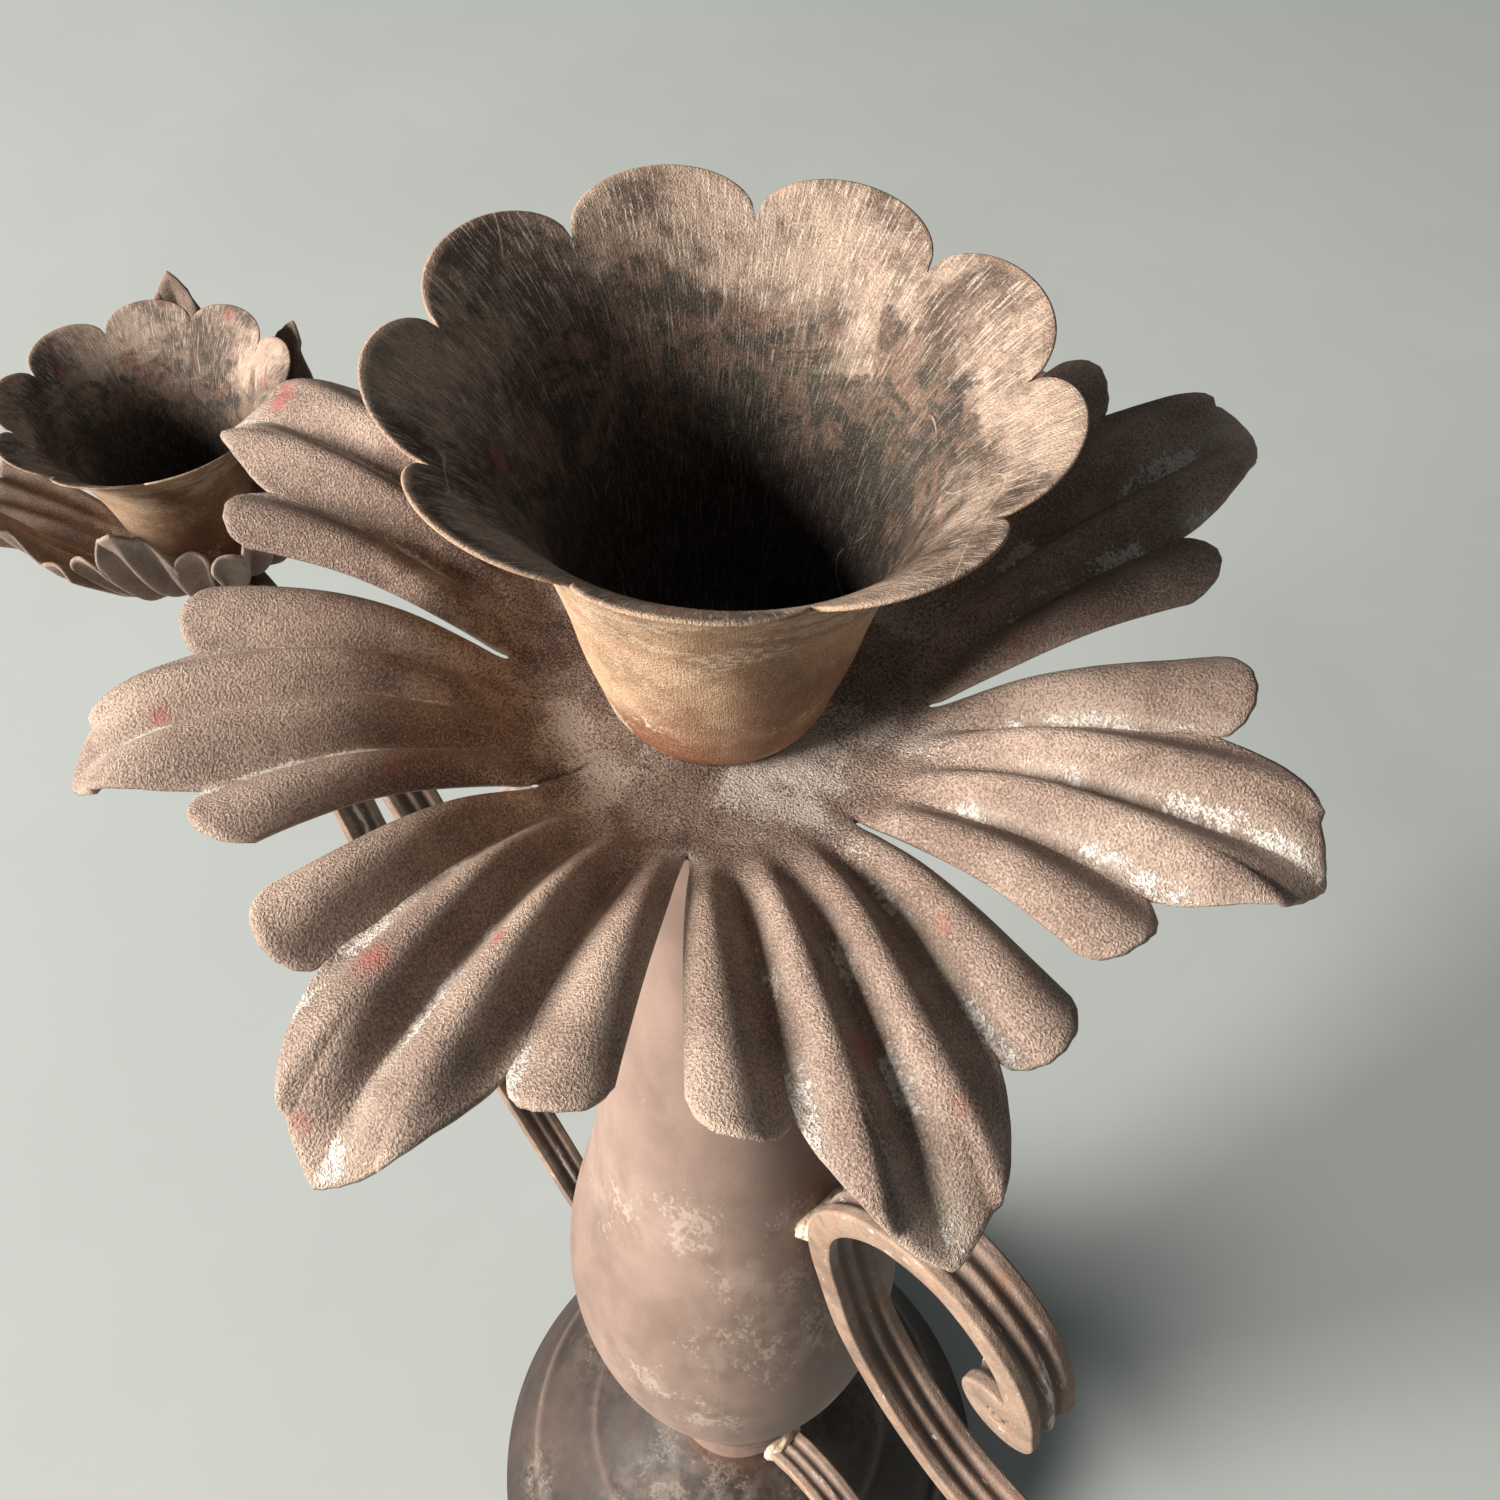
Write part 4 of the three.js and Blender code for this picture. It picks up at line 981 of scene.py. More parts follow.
class CANDELABRA_OT_straps(bpy.types.Operator):
    """Builds the scroll strap and the lower strap of both arms"""
    bl_idname = "candelabra.straps"
    bl_label = "Straps"

    def execute(self, context):
        arms = context.scene.candelabra_arms
        reach = arms.reach / MM
        upper, lower = strap_ends(arms, context.scene.candelabra_pans.sheet / MM)
        for seed, side in enumerate(("right", "left")):
            scroll = with_core(*strap_piece(scroll_path(reach, upper), arms, 420, 20 + seed))
            low = strap_piece(lower_path(reach, lower), arms, 300, 20 + seed)
            for kind, (points, faces, values) in (("scroll", scroll), ("lower", low)):
                make_piece(f"{side}_{kind}_reeded_strap", on_side(points, side), faces,
                           [f"{side}_{kind}_strap"], "strap_paint", values)
        return {"FINISHED"}


def lump(middle, size, seed, rows=40, columns=80):
    """Uneven ellipsoid: the radius of a globe with a slow swell and a finer one added."""
    up = np.linspace(0.02, np.pi - 0.02, rows)[:, None]
    around = np.linspace(0, 2 * np.pi, columns, endpoint=False)[None]
    x, y, z = np.sin(up) * np.cos(around), np.sin(up) * np.sin(around), np.cos(up) + 0 * around
    radius = 1 + 0.06 * ripple(x, y, z, 0.7, seed) + 0.05 * ripple(x, y, z, 0.25, seed + 1)
    return capped(np.stack([x, y, z], -1) * radius[..., None] * size + middle)


class CANDELABRA_OT_welds(bpy.types.Operator):
    """Builds the lumpy welds that hold the straps to the body and the ferrule"""
    bl_idname = "candelabra.welds"
    bl_label = "Welds"

    def execute(self, context):
        for side in ("right", "left"):
            for weld, (middle, size, seed) in WELDS.items():
                node = f"{side}_{weld}"
                points, faces = lump(middle, size, seed)
                make_piece(f"{node}_bead", on_side(points, side), faces, [node], "weld_metal")
        return {"FINISHED"}


# Fasteners

FASTENERS = ("tie_rod", "foot_washer", "foot_nut", "nut_center", "right_washer", "right_nut", "right_screw",
             "left_washer", "left_nut", "left_screw")
# Bore of the nuts and washers, bevel of the washers, and sides of the turned pieces
ON_ROD = (3.3, 0.3, 72)
ON_SCREW = (2.8, 0.2, 64)
ROD_BEVEL = 0.5
ROD_SIDES = 48
SCREW_HEAD = 2.5


def hex_nut(bore, flats, low, high, segments=72):
    """Chamfered hexagon nut: rings whose radius is the lesser of a hexagon and a cone's circle."""
    angle = np.linspace(0, 2 * np.pi, segments, endpoint=False)
    hexagon = flats / 2 / np.cos((angle % (np.pi / 3)) - np.pi / 6)
    flat_face = np.minimum(hexagon, flats / 2 * 1.02)
    chamfer = 0.14 * (high - low)
    rows = [(bore, low + 0.3), (bore + 0.3, low), (flat_face, low), (hexagon, low + chamfer),
            (hexagon, high - chamfer), (flat_face, high), (bore + 0.3, high), (bore, high - 0.3)]
    points = [np.stack([r * np.cos(angle), r * np.sin(angle), z + 0 * angle], -1) for r, z in rows]
    return np.vstack(points), tube_faces(len(rows), segments)


def turned_ring(bore, radius, low, high, bevel, rise, segments):
    """Plain ring, washer or rod whose outer corners are broken by bevel inward and rise upward."""
    return lathe([[bore, low], [radius - bevel, low], [radius, low + rise], [radius, high - rise],
                  [radius - bevel, high], [bore, high]], segments)


def round_screw(shank, radius, low, high, segments):
    """Screw with a low domed head."""
    seat = high - SCREW_HEAD
    return lathe([[0, low], [shank - 0.4, low], [shank, low + 0.4], [shank, seat], [radius - 0.2, seat],
                  [radius, seat + 0.3], [0.95 * radius, seat + 1.2], [0.7 * radius, seat + 2.0],
                  [0.3 * radius, seat + 2.45], [0, high]], segments)


class CANDELABRA_OT_fasteners(bpy.types.Operator):
    """Builds the rod, screws, washers and nuts"""
    bl_idname = "candelabra.fasteners"
    bl_label = "Fasteners"

    def execute(self, context):
        shank = context.scene.candelabra_arms.screw_radius / MM
        for node in FASTENERS:
            corner, far = (np.array(corner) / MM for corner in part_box(node))
            on_arm = node.startswith(("right", "left"))
            middle = (corner + far) / 2 * [on_arm, on_arm, 0]
            radius = far[0] - middle[0]
            low, high = corner[2], far[2]
            bore, bevel, segments = ON_SCREW if on_arm else ON_ROD
            if "nut" in node:
                points, faces = hex_nut(bore, far[1] - corner[1], low, high)
            elif "washer" in node:
                points, faces = turned_ring(bore, radius, low, high, bevel, 0.3, segments)
            elif "screw" in node:
                points, faces = round_screw(shank, radius, low, high, segments)
            else:
                points, faces = turned_ring(0, radius, low, high, ROD_BEVEL, ROD_BEVEL, ROD_SIDES)
            make_piece(f"{node}_steel", points + middle, faces, [node], "aged_steel")
        return {"FINISHED"}


# Shader nodes


class Nodes:
    """Helpers that add nodes to one tree. Their values are numbers, plain colours or sockets."""

    def __init__(self, tree):
        self.tree = tree

    def add(self, kind, inputs=None, **settings):
        """New shader node with its settings and inputs. An input that is a socket is linked."""
        node = self.tree.nodes.new(f"ShaderNode{kind}")
        for key, value in settings.items():
            setattr(node, key, value)
        for key, value in (inputs or {}).items():
            if isinstance(value, bpy.types.NodeSocket):
                self.tree.links.new(value, node.inputs[key])
            else:
                node.inputs[key].default_value = value
        return node

    def math(self, operation, *values):
        """Result of a math node."""
        return self.add("Math", dict(enumerate(values)), operation=operation).outputs[0]

    def times(self, first, second):
        """Product of two values."""
        return self.math("MULTIPLY", first, second)

    def remap(self, value, low, high, to_low=0.0, to_high=1.0):
        """Value moved from one range to another with a smooth step, and held at its ends."""
        inputs = {"Value": value, "From Min": low, "From Max": high, "To Min": to_low, "To Max": to_high}
        return self.add("MapRange", inputs, interpolation_type="SMOOTHSTEP").outputs[0]

    def noise(self, vector, scale, detail=2.0, roughness=0.5, distortion=0.0):
        """Cloudy value about a half."""
        return self.add("TexNoise", {"Vector": vector, "Scale": scale, "Detail": detail,
                                     "Roughness": roughness, "Distortion": distortion}).outputs[0]

    def mapped(self, vector, scale=(1, 1, 1), location=(0, 0, 0)):
        """Vector stretched and moved, so that a pattern on it is squeezed and moved."""
        return self.add("Mapping", {"Vector": vector, "Scale": scale, "Location": location}).outputs[0]

    def value(self, name, output="Fac"):
        """Named value of the mesh, as a number or as a vector."""
        return self.add("Attribute", attribute_name=name).outputs[output]

    def blend(self, amount, first, second):
        """Colour mixed from first to second by amount."""
        first, second = (colour if isinstance(colour, bpy.types.NodeSocket) else (*colour, 1.0)
                         for colour in (first, second))
        return self.add("Mix", {0: amount, 6: first, 7: second}, data_type="RGBA").outputs[2]


class Finish(Nodes):
    """Nodes of one new material, with the place on the object from which its patterns start."""

    def __init__(self, name):
        self.material = bpy.data.materials.new(name)
        self.material.use_nodes = True
        super().__init__(self.material.node_tree)
        self.tree.nodes.clear()
        self.place = self.add("TexCoord").outputs["Object"]

    def close(self, colour, roughness, height=None, strength=1.0, distance=0.0003, metallic=0.0,
              specular=0.35):
        """Principled shader with a bump from a height, linked to the output."""
        inputs = {"Base Color": colour, "Roughness": roughness, "Metallic": metallic,
                  "Specular IOR Level": specular}
        if height is not None:
            bump_inputs = {"Height": height, "Strength": strength, "Distance": distance}
            inputs["Normal"] = self.add("Bump", bump_inputs).outputs[0]
        shader = self.add("BsdfPrincipled", inputs)
        self.add("OutputMaterial", {0: shader.outputs[0]})


# Effects that the finishes share, each a node group


def shared_group(**numbers):
    """Makes a function of nodes, a vector and these numbers into a node group that is built once.

    The function returns the group's outputs by name. Called with the nodes of a material, a vector
    and its own numbers, it places the group there and returns the outputs."""
    def wrap(build):
        name = build.__name__.replace("_", " ").capitalize()
        labels = {key: key.replace("_", " ").capitalize() for key in numbers}

        def make():
            tree = bpy.data.node_groups.new(name, "ShaderNodeTree")
            tree.interface.new_socket(name="Vector", in_out="INPUT", socket_type="NodeSocketVector")
            for key, number in numbers.items():
                socket = tree.interface.new_socket(name=labels[key], in_out="INPUT",
                                                   socket_type="NodeSocketFloat")
                socket.default_value = number
            given = tree.nodes.new("NodeGroupInput").outputs
            results = build(Nodes(tree), given["Vector"], *(given[label] for label in labels.values()))
            for label in results:
                tree.interface.new_socket(name=label, in_out="OUTPUT", socket_type="NodeSocketFloat")
            end = tree.nodes.new("NodeGroupOutput")
            for label, result in results.items():
                tree.links.new(result, end.inputs[label])
            return tree

        def put(nodes, vector, **values):
            inputs = {labels[key]: value for key, value in {**numbers, **values}.items()}
            group = bpy.data.node_groups.get(name) or make()
            return nodes.add("Group", {"Vector": vector, **inputs}, node_tree=group).outputs
        return put
    return wrap


@shared_group(scale=1250.0)
def sandy_grain(nodes, vector, scale):
    """Sandy paint: rounded bumps about one grain wide with finer grit on them.

    Height is the surface. Pits are the hollows between the grains, and Peaks are their tops.
    The finishes paint shade into the Pits, and the leaf and cup paints paint a highlight onto the Peaks."""
    coarse = nodes.noise(vector, scale, roughness=0.55)
    fine = nodes.noise(vector, nodes.times(scale, 2.6), detail=1.0)
    height = nodes.math("MULTIPLY_ADD", fine, 0.35, coarse)
    return {"Height": height, "Pits": nodes.remap(height, 0.66, 0.54),
            "Peaks": nodes.remap(height, 0.72, 0.82)}


@shared_group(mask=0.0, cluster_scale=140.0, fleck_scale=1500.0)
def chalk_wear(nodes, vector, mask, cluster_scale, fleck_scale):
    """Chalk in clusters of flecks: a mask, broken up by a slow noise and by a fine one."""
    cluster = nodes.remap(nodes.noise(vector, cluster_scale), 0.42, 0.62, 0.15, 1.0)
    fine = nodes.noise(vector, fleck_scale, detail=3.0, roughness=0.7)
    raised = nodes.math("MULTIPLY_ADD", nodes.times(mask, cluster), 0.33, fine)
    return {"Amount": nodes.remap(raised, 0.68, 0.8)}


@shared_group(scale=60.0)
def paint_patches(nodes, vector, scale):
    """Slow change of tone: one cloudy noise with finer ones on it."""
    return {"Tone": nodes.remap(nodes.noise(vector, scale, detail=4.0, roughness=0.6), 0.35, 0.68)}


@shared_group(scale=200.0, share=0.1)
def specks(nodes, vector, scale, share):
    """Small round specks in a random share of the cells of a Voronoi pattern."""
    cells = nodes.add("TexVoronoi", {"Vector": vector, "Scale": scale})
    pick = nodes.add("SeparateColor", {0: cells.outputs["Color"]}).outputs[0]
    near = nodes.remap(cells.outputs["Distance"], 0.32, 0.16)
    return {"Mask": nodes.times(near, nodes.math("GREATER_THAN", share, pick))}


@shared_group(scale=60.0, width=0.006)
def scratches(nodes, vector, scale, width):
    """Long thin scratches: where a slow twisted noise crosses one level, in some places only."""
    noise = nodes.noise(vector, scale, detail=1.0, distortion=0.5)
    line = nodes.remap(nodes.math("ABSOLUTE", nodes.math("SUBTRACT", noise, 0.5)), width, 0.0)
    gate = nodes.remap(nodes.noise(vector, 90.0), 0.48, 0.58)
    return {"Mask": nodes.times(line, gate)}


# Finishes, each a function of its empty material and the user's colours


def leaf_paint(paint, look):
    """Sandy mauve-taupe paint: chalk on the valleys' flanks, brown near the hub, worn rims, painted shade in
    the valleys and grain hollows, painted highlight on grain tops.
    """
    grain = sandy_grain(paint, paint.place, scale=1 / look.grain)
    tone = paint_patches(paint, paint.place, scale=70.0)["Tone"]
    brown = paint_patches(paint, paint.place, scale=110.0)["Tone"]
    colour = paint.blend(tone, look.leaf_dark, look.leaf_light)

    hub = paint.remap(paint.value("along"), 0.35, -0.1)
    stain = paint.math("MAXIMUM", paint.value("stain"), paint.times(hub, 0.5))
    stain = paint.times(stain, paint.remap(brown, 0.15, 0.65, 0.2, 0.95))
    colour = paint.blend(stain, colour, srgb(88, 62, 50))
    # Painted shade: darker deep in the pressed valleys, where shade falls
    colour = paint.blend(paint.times(paint.value("valley"), 0.3), colour, srgb(80, 60, 52))
    # Painted shade in the grain's hollows, stronger near the hub, and painted highlight on its tops
    pits = paint.times(grain["Pits"], paint.remap(hub, 0, 1, 0.5, 0.85))
    colour = paint.blend(pits, colour, srgb(66, 50, 43))
    colour = paint.blend(paint.times(grain["Peaks"], 0.35), colour, srgb(214, 192, 176))

    spot = paint.times(paint.value("spot"), paint.remap(grain["Height"], 0.5, 0.75, 0.25, 0.9))
    colour = paint.blend(spot, colour, look.pink)
    red = specks(paint, paint.place, scale=230.0, share=0.04)["Mask"]
    colour = paint.blend(paint.times(red, 0.3), colour, look.pink)

    speckle = chalk_wear(paint, paint.place, mask=paint.times(hub, 0.95), cluster_scale=80.0,
                         fleck_scale=3600.0)["Amount"]
    colour = paint.blend(paint.times(speckle, 0.7), colour, srgb(212, 199, 187))
    chalk = chalk_wear(paint, paint.place, mask=paint.value("chalk"))["Amount"]
    chalk = paint.times(chalk, paint.remap(grain["Height"], 0.54, 0.66, 0.4, 1.0))
    haze = paint.times(paint.value("chalk"), paint.remap(brown, 0.1, 0.9, 0.15, 0.5))
    colour = paint.blend(haze, colour, srgb(202, 184, 168))
    colour = paint.blend(paint.times(chalk, 0.85), colour, look.chalk)

    worn = paint.times(paint.value("rim"), paint.remap(tone, 0.2, 0.9, 0.1, 0.5))
    colour = paint.blend(worn, colour, srgb(196, 172, 152))
    colour = paint.blend(paint.value("crack"), colour, srgb(28, 20, 17))
    height = paint.math("MULTIPLY_ADD", chalk, 0.3, grain["Height"])
    paint.close(colour, paint.remap(tone, 0, 1, 0.62, 0.8), height, 1.0, 0.0004)


def cup_outside(paint, look, tone, up):
    """Colour of a cup's outside: rust low down, pale streaks higher up and a crust near the foot."""
    colour = paint.blend(tone, srgb(142, 110, 85), srgb(204, 168, 135))
    low = paint.remap(paint.math("MULTIPLY_ADD", tone, 0.35, up), 0.62, 0.12)
    colour = paint.blend(paint.times(low, 0.7), colour, look.rust)
    pale = chalk_wear(paint, paint.mapped(paint.place, scale=(1, 1, 2.6)),
                      mask=paint.remap(up, 0.3, 0.8, 0.4, 0.95), cluster_scale=110.0, fleck_scale=900.0)
    colour = paint.blend(paint.times(pale["Amount"], 0.5), colour, srgb(228, 209, 180))
    crust = chalk_wear(paint, paint.place, mask=paint.remap(up, 0.34, 0.1), fleck_scale=1700.0)
    return paint.blend(paint.times(crust["Amount"], 0.8), colour, srgb(232, 216, 190))


def cup_inside(paint, streaks, up):
    """Colour of a cup's inside: cloudy taupe, a ragged dark crust further down, and painted shade that turns
    it nearly black at the bottom, deep in the cup, with greenish patches, streaks and scratches."""
    cloudy = paint.noise(paint.place, 55.0, detail=9.0, roughness=0.75, distortion=0.3)
    colour = paint.blend(paint.remap(cloudy, 0.4, 0.6), srgb(76, 60, 50), srgb(174, 150, 132))

    ragged = paint.noise(paint.place, 70.0, detail=9.0, roughness=0.7, distortion=0.8)
    level = paint.math("MULTIPLY_ADD", ragged, 1.3, paint.math("SUBTRACT", up, 0.2))
    mottle = paint.noise(paint.place, 250.0, detail=8.0, roughness=0.7, distortion=1.0)
    crust = paint.blend(paint.remap(mottle, 0.44, 0.58), srgb(19, 14, 11), srgb(112, 84, 69))
    crust = paint.blend(paint.remap(cloudy, 0.55, 0.66, 0.0, 0.7), crust, srgb(120, 62, 46))
    colour = paint.blend(paint.times(paint.remap(level, 1.36, 1.24), 0.85), colour, crust)
    # Painted shade: nearly black low in the cup, where shade falls deep inside
    colour = paint.blend(paint.times(paint.remap(level, 1.14, 0.86), 0.9), colour, srgb(19, 14, 12))

    green = paint_patches(paint, paint.mapped(paint.place, location=(0.3, 0.1, 0)), scale=120.0)["Tone"]
    band = paint.times(paint.remap(up, 0.35, 0.6), paint.remap(up, 1.0, 0.8))
    colour = paint.blend(paint.times(paint.times(green, band), 0.4), colour, srgb(56, 60, 46))

    fibres = paint.times(paint.remap(streaks, 0.53, 0.63), paint.remap(level, 1.15, 1.45, 0.2, 0.6))
    colour = paint.blend(fibres, colour, srgb(218, 198, 180))
    colour = paint.blend(paint.times(paint.remap(streaks, 0.46, 0.34), 0.4), colour, srgb(70, 52, 44))
    lines = scratches(paint, paint.place, scale=30.0, width=0.0022)["Mask"]
    return paint.blend(paint.times(lines, 0.75), colour, srgb(196, 172, 148))


def cup_paint(paint, look):
    """Cup paint: rusty outside and dark streaked inside with painted shade low down, under grain with painted
    shade and highlight, red specks and a worn rim.
    """
    inside = paint.value("inside")
    up = paint.value("up")
    grain = sandy_grain(paint, paint.place, scale=1 / look.grain * 1.25)
    tone = paint_patches(paint, paint.place, scale=80.0)["Tone"]
    streaks = paint.noise(paint.mapped(paint.value("wall", "Vector"), scale=(110, 110, 16)), 1.0,
                          detail=4.0, roughness=0.65)
    colour = paint.blend(inside, cup_outside(paint, look, tone, up), cup_inside(paint, streaks, up))
    # Painted shade in the grain's hollows and painted highlight on its tops
    colour = paint.blend(paint.times(grain["Pits"], 0.42), colour, srgb(60, 44, 37))
    peaks = paint.times(grain["Peaks"], paint.remap(inside, 0, 1, 0.35, 0.12))
    colour = paint.blend(peaks, colour, srgb(212, 192, 172))
    red = specks(paint, paint.place, scale=160.0, share=0.12)["Mask"]
    colour = paint.blend(paint.times(red, 0.35), colour, look.pink)
    edge = paint.times(paint.value("rim"), paint.remap(tone, 0.2, 0.8, 0.1, 0.5))
    colour = paint.blend(edge, colour, srgb(170, 140, 118))
    height = paint.math("MULTIPLY_ADD", streaks, 0.5, grain["Height"])
    paint.close(colour, paint.remap(tone, 0, 1, 0.55, 0.75), height, 0.7)


def satin_paint(paint, look, dark, light, red_share, cloud_share, chalk_share):
    """Satin paint of the column and foot: fine grain with painted shade in its hollows, faint chalk, ridges
    worn chalky and lightened with painted highlight, red specks.
    """
    tall = paint.mapped(paint.place, scale=(1, 1, 0.5))
    grain = sandy_grain(paint, paint.place, scale=1 / look.grain * 0.5)
    tone = paint_patches(paint, tall, scale=34.0)["Tone"]
    ridge = paint.value("ridge")
    colour = paint.blend(tone, dark, light)
    # Painted shade in the grain's hollows
    colour = paint.blend(paint.times(grain["Pits"], 0.14), colour, srgb(96, 70, 60))
    red = specks(paint, paint.place, scale=190.0, share=0.03)["Mask"]
    colour = paint.blend(paint.times(red, red_share), colour, srgb(150, 84, 62))

    worn = paint.math("MAXIMUM", paint.value("chalk"), paint.math("MULTIPLY_ADD", ridge, 0.3, 0.1))
    cloud = paint.times(worn, paint_patches(paint, tall, scale=260.0)["Tone"])
    colour = paint.blend(paint.times(cloud, cloud_share), colour, srgb(196, 180, 164))
    chalk = chalk_wear(paint, tall, mask=worn, cluster_scale=150.0, fleck_scale=1000.0)["Amount"]
    colour = paint.blend(paint.times(chalk, chalk_share), colour, srgb(222, 206, 188))
    # Painted highlight: lighter along the foot's ridges and the ferrule's bead, besides their chalky wear
    colour = paint.blend(paint.times(ridge, 0.2), colour, srgb(150, 128, 116))
    colour = paint.blend(paint.times(paint.value("corner"), 0.5), colour, srgb(96, 60, 44))
    paint.close(colour, paint.remap(tone, 0, 1, 0.6, 0.75), grain["Height"], 0.12)


def column_paint(paint, look):
    """Mauve-taupe paint of the body, ferrule and cap."""
    satin_paint(paint, look, look.column_dark, look.column_light, 0.35, 0.2, 0.2)


def foot_paint(paint, look):
    """The column's satin finish in much darker tones for the foot, with fewer red specks and less wear."""
    satin_paint(paint, look, srgb(43, 34, 30), srgb(66, 54, 47), 0.08, 0.14, 0.1)


def strap_paint(paint, look):
    """Satin paint of the straps: painted shade in the grooves and the grain's hollows, worn pale and chalky
    on the reeds.
    """
    grain = sandy_grain(paint, paint.place, scale=1 / look.grain * 0.6)
    tone, mottle, brown = (paint_patches(paint, paint.place, scale=scale)["Tone"]
                           for scale in (60.0, 320.0, 150.0))
    colour = paint.blend(tone, srgb(118, 98, 86), srgb(160, 138, 122))
    # Painted shade: darker in the hollows between the reeds, where shade falls
    colour = paint.blend(paint.remap(paint.value("reed"), 0.9, 0.7, 0.0, 0.7), colour, srgb(78, 66, 61))
    side = paint.times(paint.value("side"), paint.remap(tone, 0, 1, 0.3, 0.7))
    colour = paint.blend(side, colour, srgb(160, 134, 113))
    colour = paint.blend(paint.remap(mottle, 0.6, 0.15, 0.0, 0.26), colour, srgb(88, 70, 60))
    colour = paint.blend(paint.times(paint.remap(brown, 0.6, 1.0), 0.2), colour, look.rust)
    # Painted shade in the grain's hollows
    colour = paint.blend(paint.times(grain["Pits"], 0.2), colour, srgb(80, 58, 48))
    chalk = chalk_wear(paint, paint.value("run", "Vector"), mask=paint.value("chalk"), cluster_scale=150.0,
                       fleck_scale=900.0)["Amount"]
    colour = paint.blend(paint.times(chalk, 0.65), colour, look.chalk)
    paint.close(colour, paint.remap(tone, 0, 1, 0.6, 0.78), grain["Height"], 0.5)


def weld_metal(paint, look):
    """Pale lumpy weld under thin paint."""
    grain = sandy_grain(paint, paint.place, scale=1000.0)
    tone = paint_patches(paint, paint.place, scale=160.0)["Tone"]
    colour = paint.blend(tone, srgb(146, 122, 102), srgb(226, 208, 182))
    # Painted shade in the grain's hollows
    colour = paint.blend(paint.times(grain["Pits"], 0.4), colour, srgb(92, 68, 52))
    paint.close(colour, 0.7, grain["Height"], 0.6, 0.0004)


def aged_steel(paint, look):
    """Dull brown steel of the rod, nuts, washers and screws, with rust in patches."""
    grain = sandy_grain(paint, paint.place, scale=1500.0)
    tone = paint_patches(paint, paint.place, scale=220.0)["Tone"]
    colour = paint.blend(tone, srgb(96, 82, 72), look.rust)
    metal = paint.remap(tone, 0.3, 0.9, 0.85, 0.1)
    paint.close(colour, paint.remap(tone, 0, 1, 0.4, 0.8), grain["Height"], 0.3, 0.0002, metallic=metal)


def pale_floor(paint, look):
    """Plain matt floor with a faint change of tone."""
    base = np.array(bpy.context.scene.candelabra_studio.floor_colour)
    tone = paint_patches(paint, paint.place, scale=5.0)["Tone"]
    paint.close(paint.blend(tone, base * 0.96, base), 0.8, specular=0.2)


FINISHES = {
    "leaf_paint": leaf_paint,
    "cup_paint": cup_paint,
    "column_paint": column_paint,
    "foot_paint": foot_paint,
    "strap_paint": strap_paint,
    "weld_metal": weld_metal,
    "aged_steel": aged_steel,
    "pale_floor": pale_floor,
}


def finish(slot):
    """Material of a slot, made when its first piece asks for it."""
    name = slot.replace("_", " ").capitalize()
    if name not in bpy.data.materials:
        FINISHES[slot](Finish(name), bpy.context.scene.candelabra_look)
    return bpy.data.materials[name]


# Studio, in metres

TARGET = np.array([0.0, 0.0, 0.4])
# Place of the main light as seen from the target
KEY_HEADING = math.radians(-112)
KEY_HEIGHT = math.radians(26)
KEY_DISTANCE = 4.5
CAMERA_PLACE = (0.0747, -0.0627, 0.5342)
CAMERA_TILT = math.radians(37.27)
CAMERA_HEADING = math.radians(47.9)
ROOM_COLOUR = (0.72, 0.78, 0.78, 1)
ROOM_STRENGTH = 0.15


def area_light(name, place, size, power, colour):
    """Square area light that faces the target."""
    light = bpy.data.lights.new(name, "AREA")
    light.size = size
    light.energy = power
    light.color = colour
    lamp = placed(name, light)
    lamp.location = place
    away = np.array(place) - TARGET
    heading = math.atan2(away[1], away[0])
    tilt = math.atan2(math.hypot(away[0], away[1]), away[2])
    lamp.rotation_euler = (tilt, 0, heading + math.pi / 2)


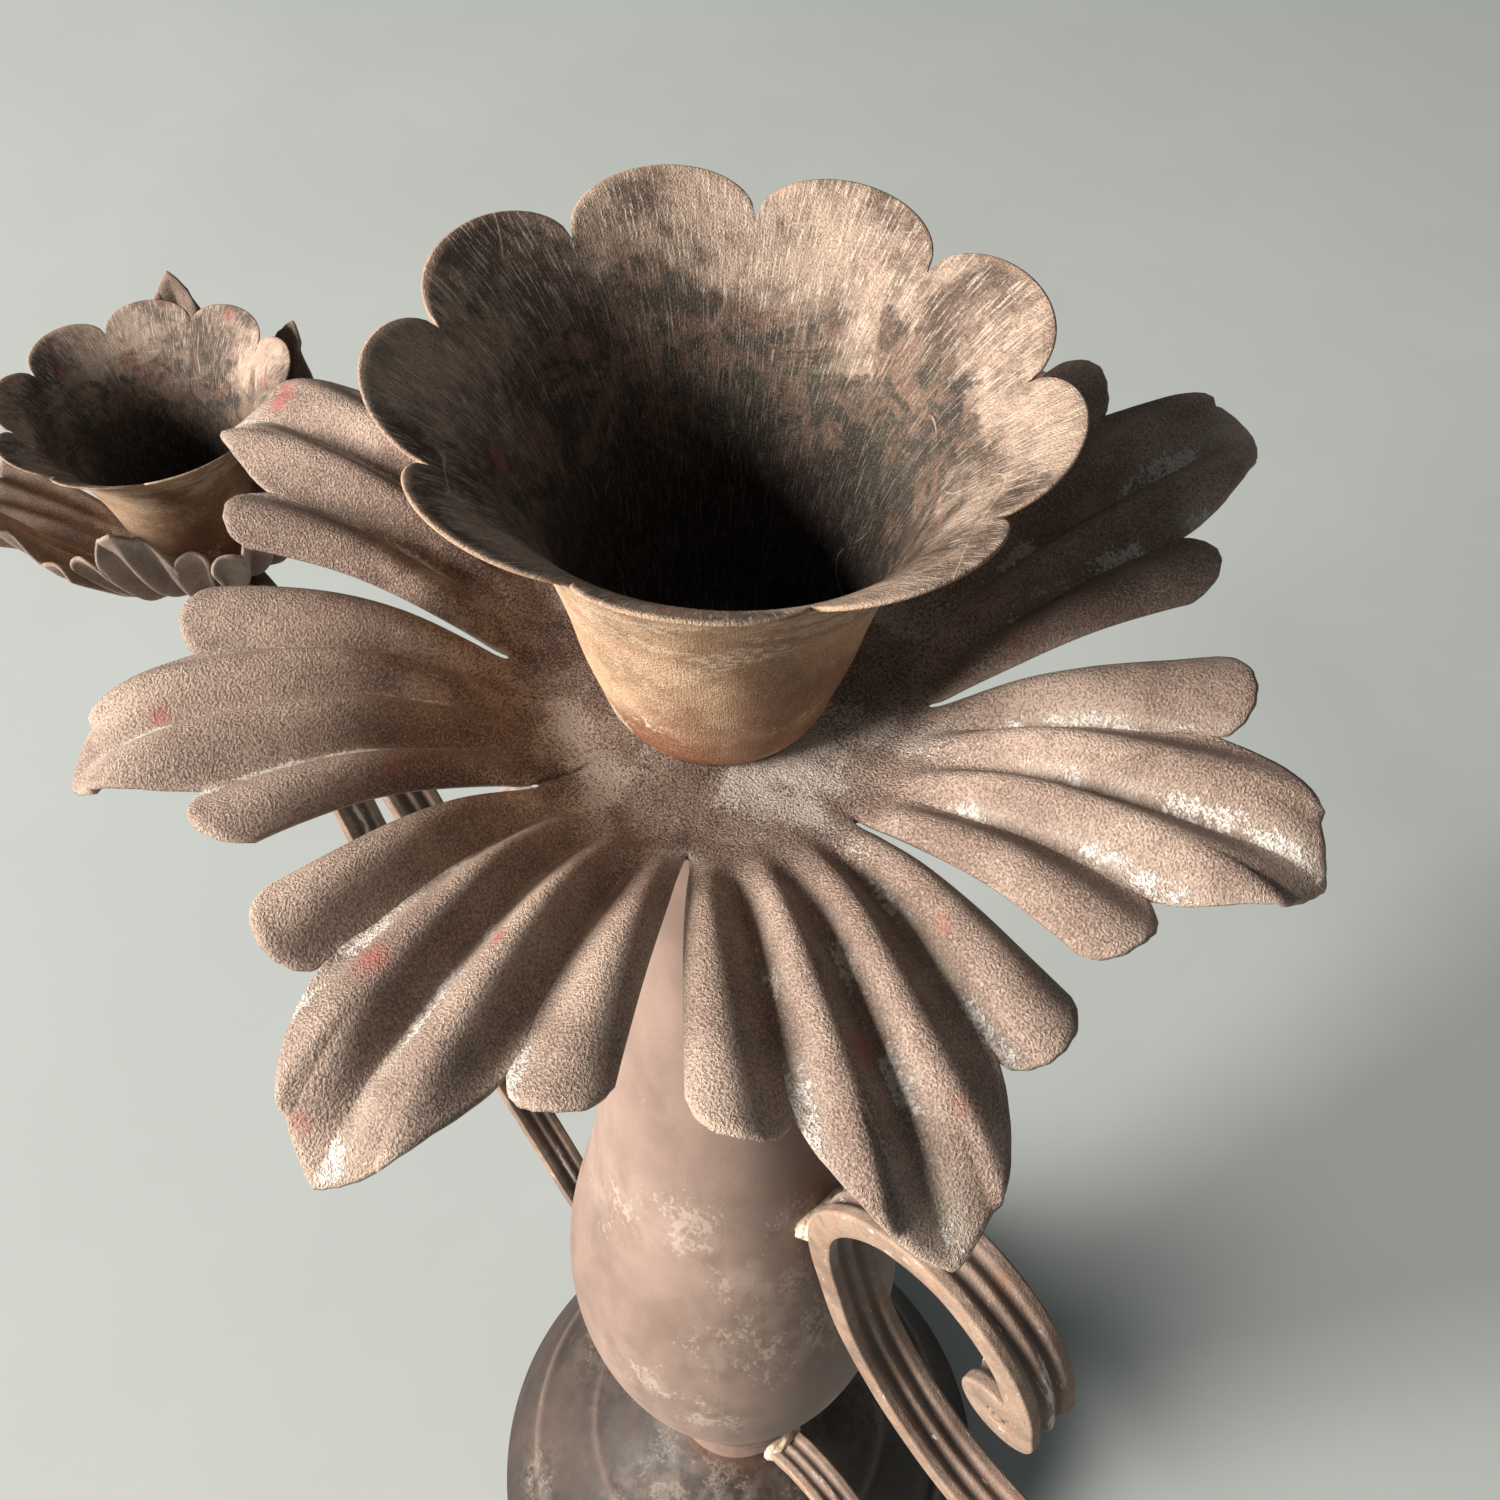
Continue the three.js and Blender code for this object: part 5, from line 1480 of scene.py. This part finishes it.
class CANDELABRA_OT_stage(bpy.types.Operator):
    """Builds the floor, the lights and the camera"""
    bl_idname = "candelabra.stage"
    bl_label = "Stage"

    def execute(self, context):
        studio = context.scene.candelabra_studio
        mesh = bpy.data.meshes.new("floor")
        mesh.from_pydata([(-3, -3, 0), (3, -3, 0), (3, 3, 0), (-3, 3, 0)], [], [(0, 1, 2, 3)])
        mesh.materials.append(finish("pale_floor"))
        floor = placed("floor", mesh)

        level = math.cos(KEY_HEIGHT)
        away = np.array([math.cos(KEY_HEADING) * level, math.sin(KEY_HEADING) * level, math.sin(KEY_HEIGHT)])
        area_light("Key", TARGET + KEY_DISTANCE * away, 1.9, studio.key_power, (1.0, 0.955, 0.9))
        area_light("Fill", (0.6, 0.9, 1.3), 1.6, studio.fill_power, (0.9, 0.95, 1.0))
        world = bpy.data.worlds.new("Soft room")
        world.use_nodes = True
        room = world.node_tree.nodes["Background"].inputs
        room["Color"].default_value = ROOM_COLOUR
        room["Strength"].default_value = ROOM_STRENGTH
        context.scene.world = world

        camera = bpy.data.cameras.new("Camera")
        camera.lens = studio.lens
        camera.sensor_width = 36
        camera.clip_start = 0.01
        camera.clip_end = 20
        view = placed("Camera", camera)
        view.location = CAMERA_PLACE
        view.rotation_euler = (CAMERA_TILT, 0, CAMERA_HEADING)
        context.scene.camera = view
        context.scene.view_settings.view_transform = "Standard"
        return {"FINISHED"}


class CANDELABRA_PT_panel(bpy.types.Panel):
    """Lists the steps that build the candelabra, with their sizes"""
    bl_idname = "CANDELABRA_PT_panel"
    bl_label = "Candelabra"
    bl_space_type = "VIEW_3D"
    bl_region_type = "UI"
    bl_category = "Candelabra"

    def draw(self, context):
        for operator in OPERATORS:
            self.layout.operator(operator.bl_idname)
        for key, group in GROUPS.items():
            box = self.layout.box()
            for name in group.__annotations__:
                box.prop(getattr(context.scene, key), name)


GROUPS = {
    "candelabra_pans": PanSizes,
    "candelabra_cups": CupSizes,
    "candelabra_column": ColumnSizes,
    "candelabra_arms": ArmSizes,
    "candelabra_look": FinishLook,
    "candelabra_studio": StudioSettings,
}
OPERATORS = (
    CANDELABRA_OT_stage,
    CANDELABRA_OT_foot,
    CANDELABRA_OT_column,
    CANDELABRA_OT_straps,
    CANDELABRA_OT_welds,
    CANDELABRA_OT_fasteners,
    CANDELABRA_OT_side_pans,
    CANDELABRA_OT_middle_pan,
    CANDELABRA_OT_cups,
)


def register():
    for group in (*GROUPS.values(), *OPERATORS, CANDELABRA_PT_panel):
        bpy.utils.register_class(group)
    for key, group in GROUPS.items():
        setattr(bpy.types.Scene, key, PointerProperty(type=group))


def unregister():
    for key in GROUPS:
        delattr(bpy.types.Scene, key)
    for group in reversed((*GROUPS.values(), *OPERATORS, CANDELABRA_PT_panel)):
        bpy.utils.unregister_class(group)


def main():
    register()
    bpy.ops.candelabra.stage()
    bpy.ops.candelabra.foot()
    bpy.ops.candelabra.column()
    bpy.ops.candelabra.straps()
    bpy.ops.candelabra.welds()
    bpy.ops.candelabra.fasteners()
    bpy.ops.candelabra.side_pans()
    bpy.ops.candelabra.middle_pan()
    bpy.ops.candelabra.cups()


if __name__ == "__main__":
    main()
